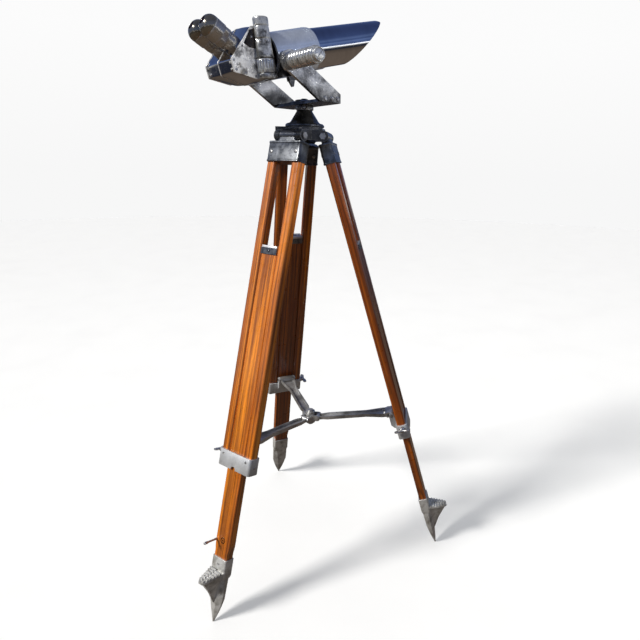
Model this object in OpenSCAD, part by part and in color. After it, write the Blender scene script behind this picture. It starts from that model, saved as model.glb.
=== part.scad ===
// Twin-barrel 45 degree observation binocular on a three-legged wooden field stand.
// Units are millimetres. Origin: on the vertical turning axis, at ground level.
// +X is where the instrument looks, +Z is up, +Y is its left side.

/* [Stand] */
// Leg angle from the vertical, degrees
leg_splay = 15.77; // [15:0.01:16.5]
// Distance from leg hinge to foot tip along the leg
leg_len = 1348; // [1300:1:1380]
// Width of the outer leg over both rails
leg_w = 115; // [112:0.5:118]
// Width of one side rail
rail_w = 28.5; // [27:0.5:29.5]
// Front to back depth of a side rail
rail_d = 26; // [25:0.5:27]
// Thickness of the sliding board
board_t = 22; // [20:0.5:23]

/* [Head] */
// Radius of the knurled clamp ring under the fork
ring_r = 24; // [22:0.5:26]
// Half width of the fork, outside
fork_out = 114; // [113:0.5:116]
// Fork arm thickness
fork_t = 10; // [8:0.5:10.5]

/* [Instrument] */
// Upward tilt of the instrument, degrees
pitch = 14.6; // [10:0.1:18]
// Distance of each barrel from the middle plane
barrel_y = 50; // [49:0.5:51]
// Outer radius of a sunshade
shade_r = 46; // [45:0.25:46]
// Distance of each eyepiece from the middle plane
eye_y = 31; // [29:0.5:33]
// Radius of the eyepiece body
eye_r = 25; // [24:0.5:26]
// Radius over the ribs of a hand grip
grip_r = 19; // [18:0.5:21]
// Number of ribs on a hand grip
grip_ribs = 9; // [7:1:9]

/* [Hidden] */
$fn = 64;
e = 0.01;
az = [-44.26, -164.26, 75.74];
hinge_r = 57;
hinge_z = leg_len*cos(leg_splay);
clamp_z = -885;                       // clamp centre below the hinge, along the leg
board_w = leg_w - 2*rail_w - 1;
rail_y = leg_w/2 - rail_w/2;
top_z = hinge_z + 24.5;               // top of the head casting
fork_z = hinge_z + 78.5;              // underside of the fork base
el_x = -107;                          // elevation axis
el_z = fork_z + 79.5;
barrel_w = 22;                        // barrel axis above the elevation axis
hub_z = hinge_z - 842.5;
hub_pr = 24;
// outer pivot of the spreader arm, in the leg's own frame
op_x = -27; op_z = -838;
op_r = hinge_r + op_x*cos(leg_splay) - op_z*sin(leg_splay);
op_h = hinge_z + op_x*sin(leg_splay) + op_z*cos(leg_splay);
arm_dx = op_r - hub_pr; arm_dz = op_h - hub_z;
arm_len = sqrt(arm_dx*arm_dx + arm_dz*arm_dz);
arm_up = atan2(arm_dz, arm_dx);
lever_az = 15.74;
tow_t = 9;                            // lean of the filter tower
tow_u = -49; tow_v = -76;

alu = [0.74,0.75,0.76]; dark = [0.16,0.17,0.19]; steel = [0.8,0.8,0.82];
wood = [0.62,0.31,0.10]; chr = [0.82,0.84,0.88]; gls = [0.35,0.30,0.45];

module at_leg(i) rotate([0,0,az[i]]) translate([hinge_r,0,hinge_z]) rotate([0,-leg_splay,0]) children();
module inst() translate([el_x,0,el_z]) rotate([0,-pitch,0]) children();
module tube_u(s) translate([0,s*barrel_y,barrel_w]) rotate([0,90,0]) children();
module eye_ax(s) translate([-94.4,s*eye_y,52.5]) rotate([0,-45,0]) children();
module tow_ax() translate([tow_u,tow_v,0]) rotate([0,tow_t,0]) children();

// rectangle with round corners, centred
module rsq(x,y,r) {
  square([x-2*r,y],center=true);
  square([x,y-2*r],center=true);
  for (a=[-1,1], b=[-1,1]) translate([a*(x/2-r),b*(y/2-r)]) circle(r=r,$fn=32);
}
module prism(x,y,z0,z1,r) translate([0,0,z0]) linear_extrude(z1-z0) rsq(x,y,r);
// plate in the side plane: polygon in (x,z), from y0 to y1
module side_poly(pts,y0,y1) translate([0,y1,0]) rotate([90,0,0]) linear_extrude(y1-y0) polygon(pts);

// ---------- head ----------
module head_casting() color(dark) difference() {
  union() {
    translate([0,0,hinge_z-10]) cylinder(r=46,h=top_z-hinge_z+10);
    for (i=[0:2]) rotate([0,0,az[i]]) {
      translate([20,-47,hinge_z-10]) cube([hinge_r-20,94,26]);
      for (s=[-1,1]) translate([hinge_r,s*38.5,hinge_z]) rotate([90,0,0]) cylinder(r=14.5,h=17,center=true);
      translate([30,-24,hinge_z+16-e]) cube([22,48,5]);
    }
  }
  for (i=[0:2]) rotate([0,0,az[i]]) {
    // seat of the leg cap between the two lugs
    translate([hinge_r-18,-29,hinge_z-20]) cube([60,58,37.5]);
    translate([hinge_r,0,hinge_z]) rotate([90,0,0]) cylinder(r=6,h=120,center=true);
  }
  translate([0,0,hinge_z-30]) cylinder(r=14.08,h=80);
  // bore of the side clamp screw
  rotate([0,0,lever_az]) translate([0,0,hinge_z+13]) rotate([0,90,0]) translate([0,0,30]) cylinder(r=4.06,h=40);
}
module hpin(i) color(steel) rotate([0,0,az[i]]) translate([hinge_r,0,hinge_z]) rotate([90,0,0]) {
  cylinder(r=6,h=96,center=true);
  for (s=[-1,1]) translate([0,0,s*49]) cylinder(r=9,h=4,center=true,$fn=6);
}
module pin_a() hpin(0);
module pin_b() hpin(1);
module pin_c() hpin(2);

module head_cone() color(alu) difference() {
  translate([0,0,top_z]) rotate_extrude() polygon([[0,0],[52,0],[52,6],[48,8.5],[42,9],[40,11],[37,14],[29,27],[23,36],[20.5,40],[20.5,41.5],[0,41.5]]);
  translate([0,0,top_z-1]) cylinder(r=14.08,h=60);
}
module ring_clamp() color(alu) difference() {
  translate([0,0,top_z+42]) {
    cylinder(r=ring_r-1.5,h=11.4);
    translate([0,0,1.5]) cylinder(r=ring_r,h=8.4);
  }
  translate([0,0,top_z+40]) cylinder(r=14.06,h=20);
  for (k=[0:15]) rotate([0,0,k*22.5]) translate([ring_r+0.8,0,top_z+40]) cylinder(r=2,h=20,$fn=16);
}
// clamp screw with a ball-ended handle, on the side of the head
module head_lever() color(dark) rotate([0,0,lever_az]) translate([0,0,hinge_z+13]) rotate([0,90,0]) {
  translate([0,0,38]) cylinder(r=4,h=36);
  translate([0,0,71]) cylinder(r=8,h=12);
  translate([0,0,77]) rotate([90,0,0]) cylinder(r=2.5,h=34,center=true);
  for (s=[-1,1]) translate([0,0,77]) rotate([90,0,0]) translate([0,0,s*17]) sphere(r=4.5,$fn=32);
}
module level_box() color(dark) rotate([0,0,135.74]) translate([0,0,hinge_z+6]) difference() {
  translate([42,-19,0]) cube([34.5,38,18.4]);
  translate([61.5,0,14]) cylinder(r=10,h=10);
}

// ---------- legs ----------
module cap() color(alu) difference() {
  union() {
    rotate([90,0,0]) cylinder(r=14,h=56,center=true);
    // tapered neck
    translate([-12,0,0]) rotate([90,0,90]) linear_extrude(24) polygon([[-42,-21],[42,-21],[42,-19],[29.4,-15.3],[28,-1],[-28,-1],[-29.4,-15.3],[-42,-19]]);
    prism(34,leg_w+2,-72,-18,16.5);
    prism(36.5,leg_w+4.5,-24,-19,17.5);
    prism(36.5,leg_w+4.5,-72,-68,17.5);
  }
  rotate([90,0,0]) cylinder(r=6.06,h=80,center=true);
  for (s=[-1,1]) translate([0,s*rail_y,0]) prism(rail_d+0.04,rail_w+0.04,-80,-50,6);
}
module rails() color(wood) difference() {
  for (s=[-1,1]) translate([0,s*rail_y,0]) prism(rail_d,rail_w,clamp_z-16,-50.5,6);
  // way of the clamp screw to the board's edge
  translate([0,-20,clamp_z+12]) rotate([90,0,0]) cylinder(r=5.06,h=60);
}
module bracket() color(alu) difference() {
  union() {
    prism(36,leg_w+6,clamp_z-23,clamp_z+23,8);
    // ears for the spreader arm, on the inner side
    for (s=[-1,1]) translate([0,s*26.5,0]) {
      translate([-34,-2.5,clamp_z+3]) cube([17,5,op_z-clamp_z-3]);
      translate([op_x,0,op_z]) rotate([90,0,0]) cylinder(r=7,h=5,center=true);
    }
    translate([op_x,0,op_z]) rotate([90,0,0]) cylinder(r=3.5,h=64,center=true);
    for (s=[-1,1]) translate([op_x,s*30.5,op_z]) rotate([90,0,0]) cylinder(r=5.5,h=3,center=true);
  }
  // channel of the sliding board
  translate([0,0,clamp_z-30]) linear_extrude(60) square([board_t+3,board_w+1],center=true);
  for (s=[-1,1]) translate([0,s*rail_y,0]) prism(rail_d+0.04,rail_w+0.04,clamp_z-16.02,clamp_z+30,6);
  translate([0,-30,clamp_z+12]) rotate([90,0,0]) cylinder(r=5.06,h=50);
  // notch in the outer wall
  translate([10,0,clamp_z-23]) rotate([0,90,0]) cylinder(r=9,h=20);
}
module wing() color(steel) translate([0,0,clamp_z+12]) {
  translate([0,-(board_w/2+0.7),0]) rotate([90,0,0]) cylinder(r=5,h=38);
  translate([0,-(leg_w/2+3.6),0]) rotate([90,0,0]) cylinder(r=9,h=8);
  translate([-17,-81,-2.5]) cube([34,13,5]);
  for (s=[-1,1]) translate([s*17,-74.5,-2.5]) cylinder(r=6.5,h=5);
}
foot_z = -leg_len;
module board() color(wood) difference() {
  prism(board_t,board_w,foot_z+160,-300,3.5);
  // shoulders down to the shoe
  for (s=[-1,1]) translate([-20,0,0]) rotate([90,0,90]) linear_extrude(40)
    polygon([[s*23.5,foot_z+140],[s*40,foot_z+140],[s*40,foot_z+256],[s*(board_w/2+0.1),foot_z+242],[s*27.4,foot_z+229],[s*23.5,foot_z+206]]);
}
module guide() color(alu) difference() {
  prism(board_t+5,board_w-0.4,-317,-294,3);
  translate([-board_t/2-0.03,-40,-340]) cube([board_t+0.06,80,40]);
  translate([0,0,-308.5]) rotate([0,90,0]) cylinder(r=3,h=60,center=true);
  translate([-4,-14,-301]) cube([8,28,10]);
}
module shoe() color(alu) {
  difference() {
    prism(30,54,foot_z+138,foot_z+190,5);
    translate([0,0,foot_z+159.9]) linear_extrude(60) square([board_t+0.06,47.06],center=true);
  }
  prism(26,52,foot_z+76,foot_z+148,4);
  // four-sided point with a small round end
  intersection() {
    side_poly([[-13,foot_z+77],[13,foot_z+77],[1.8,foot_z+2.2],[-1.8,foot_z+2.2]],-26,26);
    translate([-20,0,0]) rotate([90,0,90]) linear_extrude(40) polygon([[-26,foot_z+77],[26,foot_z+77],[2.2,foot_z+2.2],[-2.2,foot_z+2.2]]);
  }
  translate([0,0,foot_z+2.6/cos(leg_splay)]) sphere(r=2.6,$fn=32);
  // tread that sticks outwards, narrower at its end, with two rows of teeth
  intersection() {
    union() {
      side_poly([[8,foot_z+158],[70,foot_z+144],[70,foot_z+137],[12,foot_z+60]],-26,26);
      for (r=[0,1], k=[0:5]) translate([14.5+k*9,-26+r*26.5,foot_z+156.8-(6.5+k*9)*0.226])
        rotate([0,12.7,0]) cube([4.6,25.5,4.4]);
    }
    translate([0,0,foot_z+40]) linear_extrude(140) polygon([[0,-26],[14,-26],[70,-10],[70,10],[14,26],[0,26]]);
  }
}
module cap_a() at_leg(0) cap();
module cap_b() at_leg(1) cap();
module cap_c() at_leg(2) cap();
module rails_a() at_leg(0) rails();
module rails_b() at_leg(1) rails();
module rails_c() at_leg(2) rails();
module bracket_a() at_leg(0) bracket();
module bracket_b() at_leg(1) bracket();
module bracket_c() at_leg(2) bracket();
module screw_a() at_leg(0) wing();
module screw_b() at_leg(1) wing();
module screw_c() at_leg(2) wing();
module board_a() at_leg(0) board();
module board_b() at_leg(1) board();
module board_c() at_leg(2) board();
module guide_a() at_leg(0) guide();
module guide_b() at_leg(1) guide();
module guide_c() at_leg(2) guide();
module shoe_a() at_leg(0) shoe();
module shoe_b() at_leg(1) shoe();
module shoe_c() at_leg(2) shoe();

// ---------- spreader ----------
module spreader_hub() color(alu) {
  translate([0,0,hub_z-19]) cylinder(r=14.5,h=38);
  translate([0,0,hub_z-24]) cylinder(r=9,h=48);
  for (i=[0:2]) rotate([0,0,az[i]]) {
    for (s=[-1,1]) translate([0,s*14,hub_z]) {
      translate([4,-2,-9]) cube([hub_pr-4,4,18]);
      translate([hub_pr,0,0]) rotate([90,0,0]) cylinder(r=9,h=4,center=true);
    }
    translate([hub_pr,0,hub_z]) rotate([90,0,0]) cylinder(r=4,h=36,center=true);
  }
}
module arm_plan(d) polygon(concat(
  [for (p=[[0,11],[16,11],[34,14.5],[arm_len-80,13.2],[arm_len-30,22.9],[arm_len,22.9]]) [p[0],p[1]-d]],
  [for (p=[[arm_len,22.9],[arm_len-30,22.9],[arm_len-80,13.2],[34,14.5],[16,11],[0,11]]) [p[0],d-p[1]]]));
module sp_arm(i) color(alu) rotate([0,0,az[i]]) translate([hub_pr,0,hub_z]) rotate([0,-arm_up,0]) difference() {
  union() {
    rotate([90,0,0]) cylinder(r=8,h=22,center=true);
    difference() {
      translate([0,0,-6]) linear_extrude(11) arm_plan(0);
      translate([0,0,-2]) linear_extrude(20) arm_plan(3);
    }
    translate([arm_len-20,-22.9,-6]) cube([20,45.8,12]);
    translate([arm_len,0,0]) rotate([90,0,0]) cylinder(r=8.5,h=45.8,center=true);
    translate([arm_len-14,-22.9,-8.5]) cube([14,45.8,17]);
  }
  rotate([90,0,0]) cylinder(r=4.06,h=60,center=true);
  // slotted eye round the bracket's pin
  for (d=[-6,0]) translate([arm_len+d,0,0]) rotate([90,0,0]) cylinder(r=5.6,h=60,center=true);
  translate([arm_len-6,-30,-5.6]) cube([6,60,11.2]);
  // window beside the eye
  translate([arm_len-25,-14,-20]) cube([6,28,40]);
}
module arm_a() sp_arm(0);
module arm_b() sp_arm(1);
module arm_c() sp_arm(2);

// ---------- fork ----------
module fork_base() color(alu) {
  difference() {
    translate([-26,-(fork_out-fork_t),fork_z]) cube([62,2*(fork_out-fork_t),8]);
    for (s=[-1,1]) translate([5,s*74,fork_z-5]) cylinder(r=3.2,h=20);
  }
  translate([0,0,fork_z+8-e]) cylinder(r=24,h=5);
  translate([0,0,fork_z+13-2*e]) cylinder(r=9,h=4,$fn=6);
  translate([0,0,fork_z-72]) cylinder(r=14,h=72+e);
}
module fork_arm(s) color(alu) difference() {
  union() {
    side_poly([[-26,fork_z],[36,fork_z],[36,fork_z+22],[el_x+17,el_z+20],[el_x-20,el_z-14]], s>0?fork_out-fork_t:-fork_out, s>0?fork_out:-fork_out+fork_t);
    translate([el_x,s*(fork_out-fork_t/2),el_z]) rotate([90,0,0]) cylinder(r=25,h=fork_t,center=true);
  }
  translate([el_x,s*fork_out,el_z]) rotate([90,0,0]) cylinder(r=9.06,h=60,center=true);
}
module fork_arm_r() fork_arm(-1);
module fork_arm_l() fork_arm(1);

// ---------- instrument ----------
module cradle() color(alu) inst() difference() {
  union() {
    translate([-19.9,-94,-30]) cube([43.9,188,34]);
    // lug and catch under the belly
    translate([52,-7,-40]) cube([22,14,22]);
    translate([20,-12,-30]) cube([50,24,12]);
    side_poly([[52,-38],[70,-38],[62,-54],[58,-54]],-4,4);
  }
  for (s=[-1,1]) tube_u(s) translate([0,0,-60]) cylinder(r=50.3,h=200);
}
module trunnion(s) color(steel) inst() translate([0,s*92.5,0]) rotate([-90*s,0,0]) {
  cylinder(r=9,h=fork_out-92.5+6);
  cylinder(r=6,h=fork_out-92.5+24);
}
module trunnion_r() trunnion(-1);
module trunnion_l() trunnion(1);
module grip(s) color(alu) inst() translate([0,s*(fork_out+0.6),0]) rotate([-90*s,0,0]) difference() {
  union() {
    cylinder(r=15.5,h=8);
    cylinder(r=grip_r-3,h=110);
    for (k=[0:grip_ribs-1]) translate([0,0,8+k*11]) {
      translate([0,0,1]) cylinder(r=grip_r,h=6);
      cylinder(r1=grip_r-3,r2=grip_r,h=1.01);
      translate([0,0,6.99]) cylinder(r1=grip_r,r2=grip_r-3,h=1.01);
    }
    cylinder(r=14,h=115);
  }
  translate([0,0,-1]) cylinder(r=9.06,h=6.8);
  translate([0,0,-1]) cylinder(r=6.06,h=26);
  translate([-11,-1.5,113]) cube([22,3,5]);
}
module grip_r_knob() grip(-1);
module grip_l_knob() grip(1);

hp = [[-128,-2],[-128,25],[-60,82],[-20,82],[-20,-27],[-76,-24]];
hpi = [[-122,3],[-122,22],[-58,76],[-26,76],[-26,-21],[-75,-18]];
module prism_housing() color(alu) inst() difference() {
  union() {
    side_poly(hp,-66,66);
    side_poly([[-127.9,-2],[-112,-19],[-72,-29],[-20,-31],[-20,0]],-44,44);
  }
  side_poly(hpi,-60,60);
  for (s=[-1,1]) eye_ax(s) translate([0,0,-30]) cylinder(r=22.1,h=60);
  for (s=[-1,1]) tube_u(s) translate([0,0,-40]) cylinder(r=38,h=60);
  tow_ax() translate([0,0,-16]) cylinder(r=21.8,h=30.6);
}
module side_plate_r() color(alu) inst() difference() {
  union() {
    side_poly([[-128.6,25],[-128.6,-2.6],[-77,-24.5],[-20.5,-28],[-20.5,40],[-24,82],[-59,84]],-72,-66.02);
    tow_ax() translate([0,0,-28]) difference() {
      cylinder(r=20,h=11.6);
      translate([-40,4.5,-1]) cube([80,60,20]);
    }
  }
  tow_ax() translate([0,0,-16]) cylinder(r=21.8,h=30.6);
}
module side_plate_l() color(alu) inst() side_poly([[-128.6,25],[-128.6,-2.6],[-77,-24.5],[-20.5,-28],[-20.5,40],[-24,82],[-59,84]],66.02,72);
module tower() color(alu) inst() difference() {
  tow_ax() {
    translate([0,0,15]) cylinder(r1=21.5,r2=17,h=69);
    translate([0,0,83]) cylinder(r=17.1,h=5.1);
    translate([0,0,88]) cylinder(r=17.6,h=10);
    translate([0,0,98-e]) cylinder(r1=17.6,r2=15.5,h=2);
    translate([0,0,-15.9]) cylinder(r=6,h=40);
  }
  // flat back against the side plate
  translate([-140,-72.02,-60]) cube([240,60,144.5]);
}
module filter_wheel() color(alu) inst() tow_ax() difference() {
  translate([0,0,-15.5]) {
    cylinder(r=20.4,h=29.6);
    translate([0,0,3]) cylinder(r=21.2,h=23.6);
  }
  translate([0,0,-20]) cylinder(r=6.06,h=60);
  for (k=[0:17]) rotate([0,0,k*20]) translate([22.2,0,-20]) cylinder(r=2,h=60,$fn=16);
}
module barrel(s) color(chr) inst() tube_u(s) difference() {
  rotate_extrude($fn=96) polygon([[0,-19.9],[46.5,-19.9],[47.4,-10],[47.9,0],[49.7,88],[49.7,92],[49.3,96],[48.2,99],[46.9,101],[0,101]]);
  translate([0,0,-8]) cylinder(r=shade_r+0.4,h=120,$fn=96);
  translate([0,0,-30]) cylinder(r=38,h=40);
}
module barrel_r() barrel(-1);
module barrel_l() barrel(1);
module objective(s) inst() tube_u(s) {
  color(gls) translate([0,0,-6.5]) intersection() {
    cylinder(r=40,h=18);
    translate([0,0,-128]) sphere(r=140,$fn=96);
  }
}
module cell(s) inst() tube_u(s) color(dark) difference() {
  translate([0,0,-7.95]) cylinder(r=shade_r-2.4,h=24);
  translate([0,0,-6.55]) cylinder(r=40.02,h=40);
  translate([0,0,-12]) cylinder(r=36,h=40);
}
module objective_r() { objective(-1); cell(-1); }
module objective_l() { objective(1); cell(1); }
module shade(s) color(chr) inst() tube_u(s) difference() {
  translate([0,0,66]) cylinder(r=shade_r,h=276,$fn=96);
  translate([0,0,60]) cylinder(r=shade_r-1.6,h=300,$fn=96);
  // slanting mouth, longer above than below
  translate([0,0,271]) rotate([0,57.3,0]) translate([-200,-100,0]) cube([400,200,300]);
  translate([-46,0,324]) rotate([0,-50.2,0]) translate([-200,-100,0]) cube([400,200,300]);
}
module shade_tube_r() shade(-1);
module shade_tube_l() shade(1);

module eye_base(s) color(alu) inst() eye_ax(s) difference() {
  union() {
    translate([0,0,-13]) cylinder(r=22,h=34);
    translate([0,0,20]) cylinder(r=17,h=24);
  }
  translate([0,0,-20]) cylinder(r=13,h=80);
}
module eye_base_r() eye_base(-1);
module eye_base_l() eye_base(1);
module eye_tube(s) color(alu) inst() eye_ax(s) difference() {
  union() {
    translate([0,0,21.5]) cylinder(r=eye_r-2,h=15);
    translate([0,0,36]) cylinder(r1=eye_r-0.6,r2=eye_r,h=24);
  }
  translate([0,0,20]) cylinder(r=17.06,h=26);
  translate([0,0,40]) cylinder(r=14,h=30);
  for (k=[0:11]) rotate([0,0,k*30]) translate([eye_r-0.9,0,21]) cylinder(r=2,h=14,$fn=16);
}
module eye_tube_r() eye_tube(-1);
module eye_tube_l() eye_tube(1);
module eye_cup(s) color(dark) inst() eye_ax(s) translate([0,0,60.02]) rotate_extrude()
  polygon([[14,0],[eye_r,0],[eye_r,3],[eye_r-0.7,7],[eye_r-2.5,11.4],[eye_r-5.6,15.8],[eye_r-9.6,19.2],[eye_r-12.8,20.8],[eye_r-14.6,21.2],[eye_r-15.2,20.6],[eye_r-14.2,18],[eye_r-11,12],[14,4]]);
module eye_cup_r() eye_cup(-1);
module eye_cup_l() eye_cup(1);

head_casting();
head_cone();
ring_clamp();
head_lever();
level_box();
pin_a();
pin_b();
pin_c();
cap_a();
cap_b();
cap_c();
rails_a();
rails_b();
rails_c();
bracket_a();
bracket_b();
bracket_c();
screw_a();
screw_b();
screw_c();
board_a();
board_b();
board_c();
guide_a();
guide_b();
guide_c();
shoe_a();
shoe_b();
shoe_c();
spreader_hub();
arm_a();
arm_b();
arm_c();
fork_base();
fork_arm_r();
fork_arm_l();
cradle();
trunnion_r();
trunnion_l();
grip_r_knob();
grip_l_knob();
prism_housing();
side_plate_r();
side_plate_l();
tower();
filter_wheel();
barrel_r();
barrel_l();
shade_tube_r();
shade_tube_l();
objective_r();
objective_l();
eye_base_r();
eye_base_l();
eye_tube_r();
eye_tube_l();
eye_cup_r();
eye_cup_l();
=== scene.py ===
from math import sin, cos, tan, radians, pi, sqrt, atan2, asin, acos
import bpy
import bmesh
from mathutils import Vector, Matrix, noise


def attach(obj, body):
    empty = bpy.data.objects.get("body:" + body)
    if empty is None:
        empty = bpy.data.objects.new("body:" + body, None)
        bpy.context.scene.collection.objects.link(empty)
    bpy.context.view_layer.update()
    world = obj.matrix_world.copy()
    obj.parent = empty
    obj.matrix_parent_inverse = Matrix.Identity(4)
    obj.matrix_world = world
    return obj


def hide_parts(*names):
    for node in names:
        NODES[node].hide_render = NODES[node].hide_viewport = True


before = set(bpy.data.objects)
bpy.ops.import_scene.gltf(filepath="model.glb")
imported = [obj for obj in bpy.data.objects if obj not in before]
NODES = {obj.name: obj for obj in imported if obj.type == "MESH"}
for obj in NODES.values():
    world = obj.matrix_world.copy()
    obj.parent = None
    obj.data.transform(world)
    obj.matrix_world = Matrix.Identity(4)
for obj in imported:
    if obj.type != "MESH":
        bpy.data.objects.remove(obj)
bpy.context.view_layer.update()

scene = bpy.context.scene
scene.view_settings.view_transform = "Standard"

# ------------------------------------------------------------------ the CAD's own numbers, millimetres
SPLAY = 15.77
LEG_LEN = 1348.0
HINGE_R = 57.0
HZ = LEG_LEN * cos(radians(SPLAY))
TOP = HZ + 24.5
FORK = HZ + 78.5
ELX, ELZ = -107.0, FORK + 79.5
PITCH = 14.6
AZ = {"a": -44.26, "b": -164.26, "c": 75.74}
CLAMP = -885.0
RAILY = 43.25
FOOT = -LEG_LEN
HUBZ = HZ - 842.5
HUBR = 24.0
OPX, OPZ = -27.0, -838.0


def T(x, y, z):
    return Matrix.Translation((x, y, z))


def R(deg, axis):
    return Matrix.Rotation(radians(deg), 4, axis)


I4 = Matrix.Identity(4)
LEG = {k: R(v, "Z") @ T(HINGE_R, 0, HZ) @ R(-SPLAY, "Y") for k, v in AZ.items()}
INST = T(ELX, 0, ELZ) @ R(-PITCH, "Y")
SIDE = {"r": -1, "l": 1}
TUBE = {k: INST @ T(0, s * 50, 22) @ R(90, "Y") for k, s in SIDE.items()}
EYE = {k: INST @ T(-94.4, s * 31, 52.5) @ R(-45, "Y") for k, s in SIDE.items()}
TOW = INST @ T(-49, -76, 0) @ R(9, "Y")
GRIP = {k: INST @ T(0, s * 114.6, 0) @ R(-90 * s, "X") for k, s in SIDE.items()}
_opr = HINGE_R + OPX * cos(radians(SPLAY)) - OPZ * sin(radians(SPLAY))
_oph = HZ + OPX * sin(radians(SPLAY)) + OPZ * cos(radians(SPLAY))
ARM_DX, ARM_DZ = _opr - HUBR, _oph - HUBZ
ARM_LEN = sqrt(ARM_DX ** 2 + ARM_DZ ** 2)
ARM_UP = math_up = atan2(ARM_DZ, ARM_DX) * 180 / pi
ARM = {k: R(v, "Z") @ T(HUBR, 0, HUBZ) @ R(-ARM_UP, "Y") for k, v in AZ.items()}


# ------------------------------------------------------------------ mesh building
def rnd(pts, seg=4, closed=True):
    """A polyline whose points may carry a corner radius, with those corners rounded."""
    out = []
    n = len(pts)
    for i, p in enumerate(pts):
        x, y = p[0], p[1]
        r = p[2] if len(p) > 2 else 0
        if r <= 0 or (not closed and i in (0, n - 1)):
            out.append((x, y))
            continue
        c = Vector((x, y))
        a = Vector(pts[i - 1][:2]) - c
        b = Vector(pts[(i + 1) % n][:2]) - c
        la, lb = a.length, b.length
        a /= la
        b /= lb
        ang = max(a.angle(b), 1e-3)
        if ang > pi - 1e-3:
            out.append((x, y))
            continue
        d = min(r / tan(ang / 2), la * 0.48, lb * 0.48)
        p1, p2 = c + a * d, c + b * d
        for k in range(seg + 1):
            t = k / seg
            q = p1 * (1 - t) ** 2 + c * (2 * t * (1 - t)) + p2 * t * t
            out.append((q.x, q.y))
    return out


def lathe(profile, n=64, closed=False, fn=None):
    verts, faces, rings = [], [], []
    for (r, z) in profile:
        if r < 1e-6 and not closed:
            rings.append([len(verts)])
            verts.append((0, 0, z))
            continue
        ring = []
        for k in range(n):
            t = 2 * pi * k / n
            rr, zz = fn(r, z, t) if fn else (r, z)
            ring.append(len(verts))
            verts.append((rr * cos(t), rr * sin(t), zz))
        rings.append(ring)
    pairs = list(zip(rings, rings[1:])) + ([(rings[-1], rings[0])] if closed else [])
    for a, b in pairs:
        if len(a) == 1 and len(b) == 1:
            continue
        for k in range(n):
            j = (k + 1) % n
            if len(a) == 1:
                faces.append((a[0], b[j], b[k]))
            elif len(b) == 1:
                faces.append((a[k], a[j], b[0]))
            else:
                faces.append((a[k], a[j], b[j], b[k]))
    if not closed:
        if len(rings[0]) > 1:
            faces.append(tuple(reversed(rings[0])))
        if len(rings[-1]) > 1:
            faces.append(tuple(rings[-1]))
    return verts, faces


def loft(loops, cap=True, closed=False):
    n = len(loops[0])
    verts = [p for lp in loops for p in lp]
    faces = []
    m = len(loops)
    for i in range(m if closed else m - 1):
        i2 = (i + 1) % m
        for k in range(n):
            j = (k + 1) % n
            faces.append((i * n + k, i * n + j, i2 * n + j, i2 * n + k))
    if cap and not closed:
        faces.append(tuple(reversed(range(n))))
        faces.append(tuple((m - 1) * n + k for k in range(n)))
    return verts, faces


def rr(x, y, r, z, seg=5, cx=0, cy=0):
    """Rounded rectangle loop at height z."""
    r = max(min(r, x / 2 - 0.01, y / 2 - 0.01), 0.01)
    out = []
    for sx, sy, a0 in ((1, 1, 0), (-1, 1, 90), (-1, -1, 180), (1, -1, 270)):
        for k in range(seg + 1):
            a = radians(a0 + 90 * k / seg)
            out.append((cx + sx * (x / 2 - r) + r * cos(a), cy + sy * (y / 2 - r) + r * sin(a), z))
    return out


def prism(poly, z0, z1):
    n = len(poly)
    v = [(x, y, z0) for x, y in poly] + [(x, y, z1) for x, y in poly]
    f = [tuple(reversed(range(n))), tuple(range(n, 2 * n))]
    for k in range(n):
        j = (k + 1) % n
        f.append((k, j, n + j, n + k))
    return v, f


def side_poly(poly, y0, y1):
    """Polygon in (x, z), from y0 to y1."""
    n = len(poly)
    v = [(x, y0, z) for x, z in poly] + [(x, y1, z) for x, z in poly]
    f = [tuple(range(n)), tuple(reversed(range(n, 2 * n)))]
    for k in range(n):
        j = (k + 1) % n
        f.append((k, n + k, n + j, j))
    return v, f


def bx(x0, x1, y0, y1, z0, z1):
    return prism([(x0, y0), (x1, y0), (x1, y1), (x0, y1)], z0, z1)


def tube(path, r, n=12, closed=False, taper=None):
    pts = [Vector(p) for p in path]
    m = len(pts)
    loops = []
    up = None
    for i, p in enumerate(pts):
        if closed:
            d = pts[(i + 1) % m] - pts[i - 1]
        else:
            d = pts[min(i + 1, m - 1)] - pts[max(i - 1, 0)]
        d.normalize()
        if up is None:
            up = Vector((0, 0, 1)) if abs(d.z) < 0.9 else Vector((1, 0, 0))
        a = (up - d * up.dot(d)).normalized()
        b = d.cross(a)
        up = a
        rad = r if taper is None else r * taper(i / (m - 1))
        loops.append([tuple(p + a * (rad * cos(2 * pi * k / n)) + b * (rad * sin(2 * pi * k / n))) for k in range(n)])
    return loft(loops, cap=not closed, closed=closed)


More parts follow.
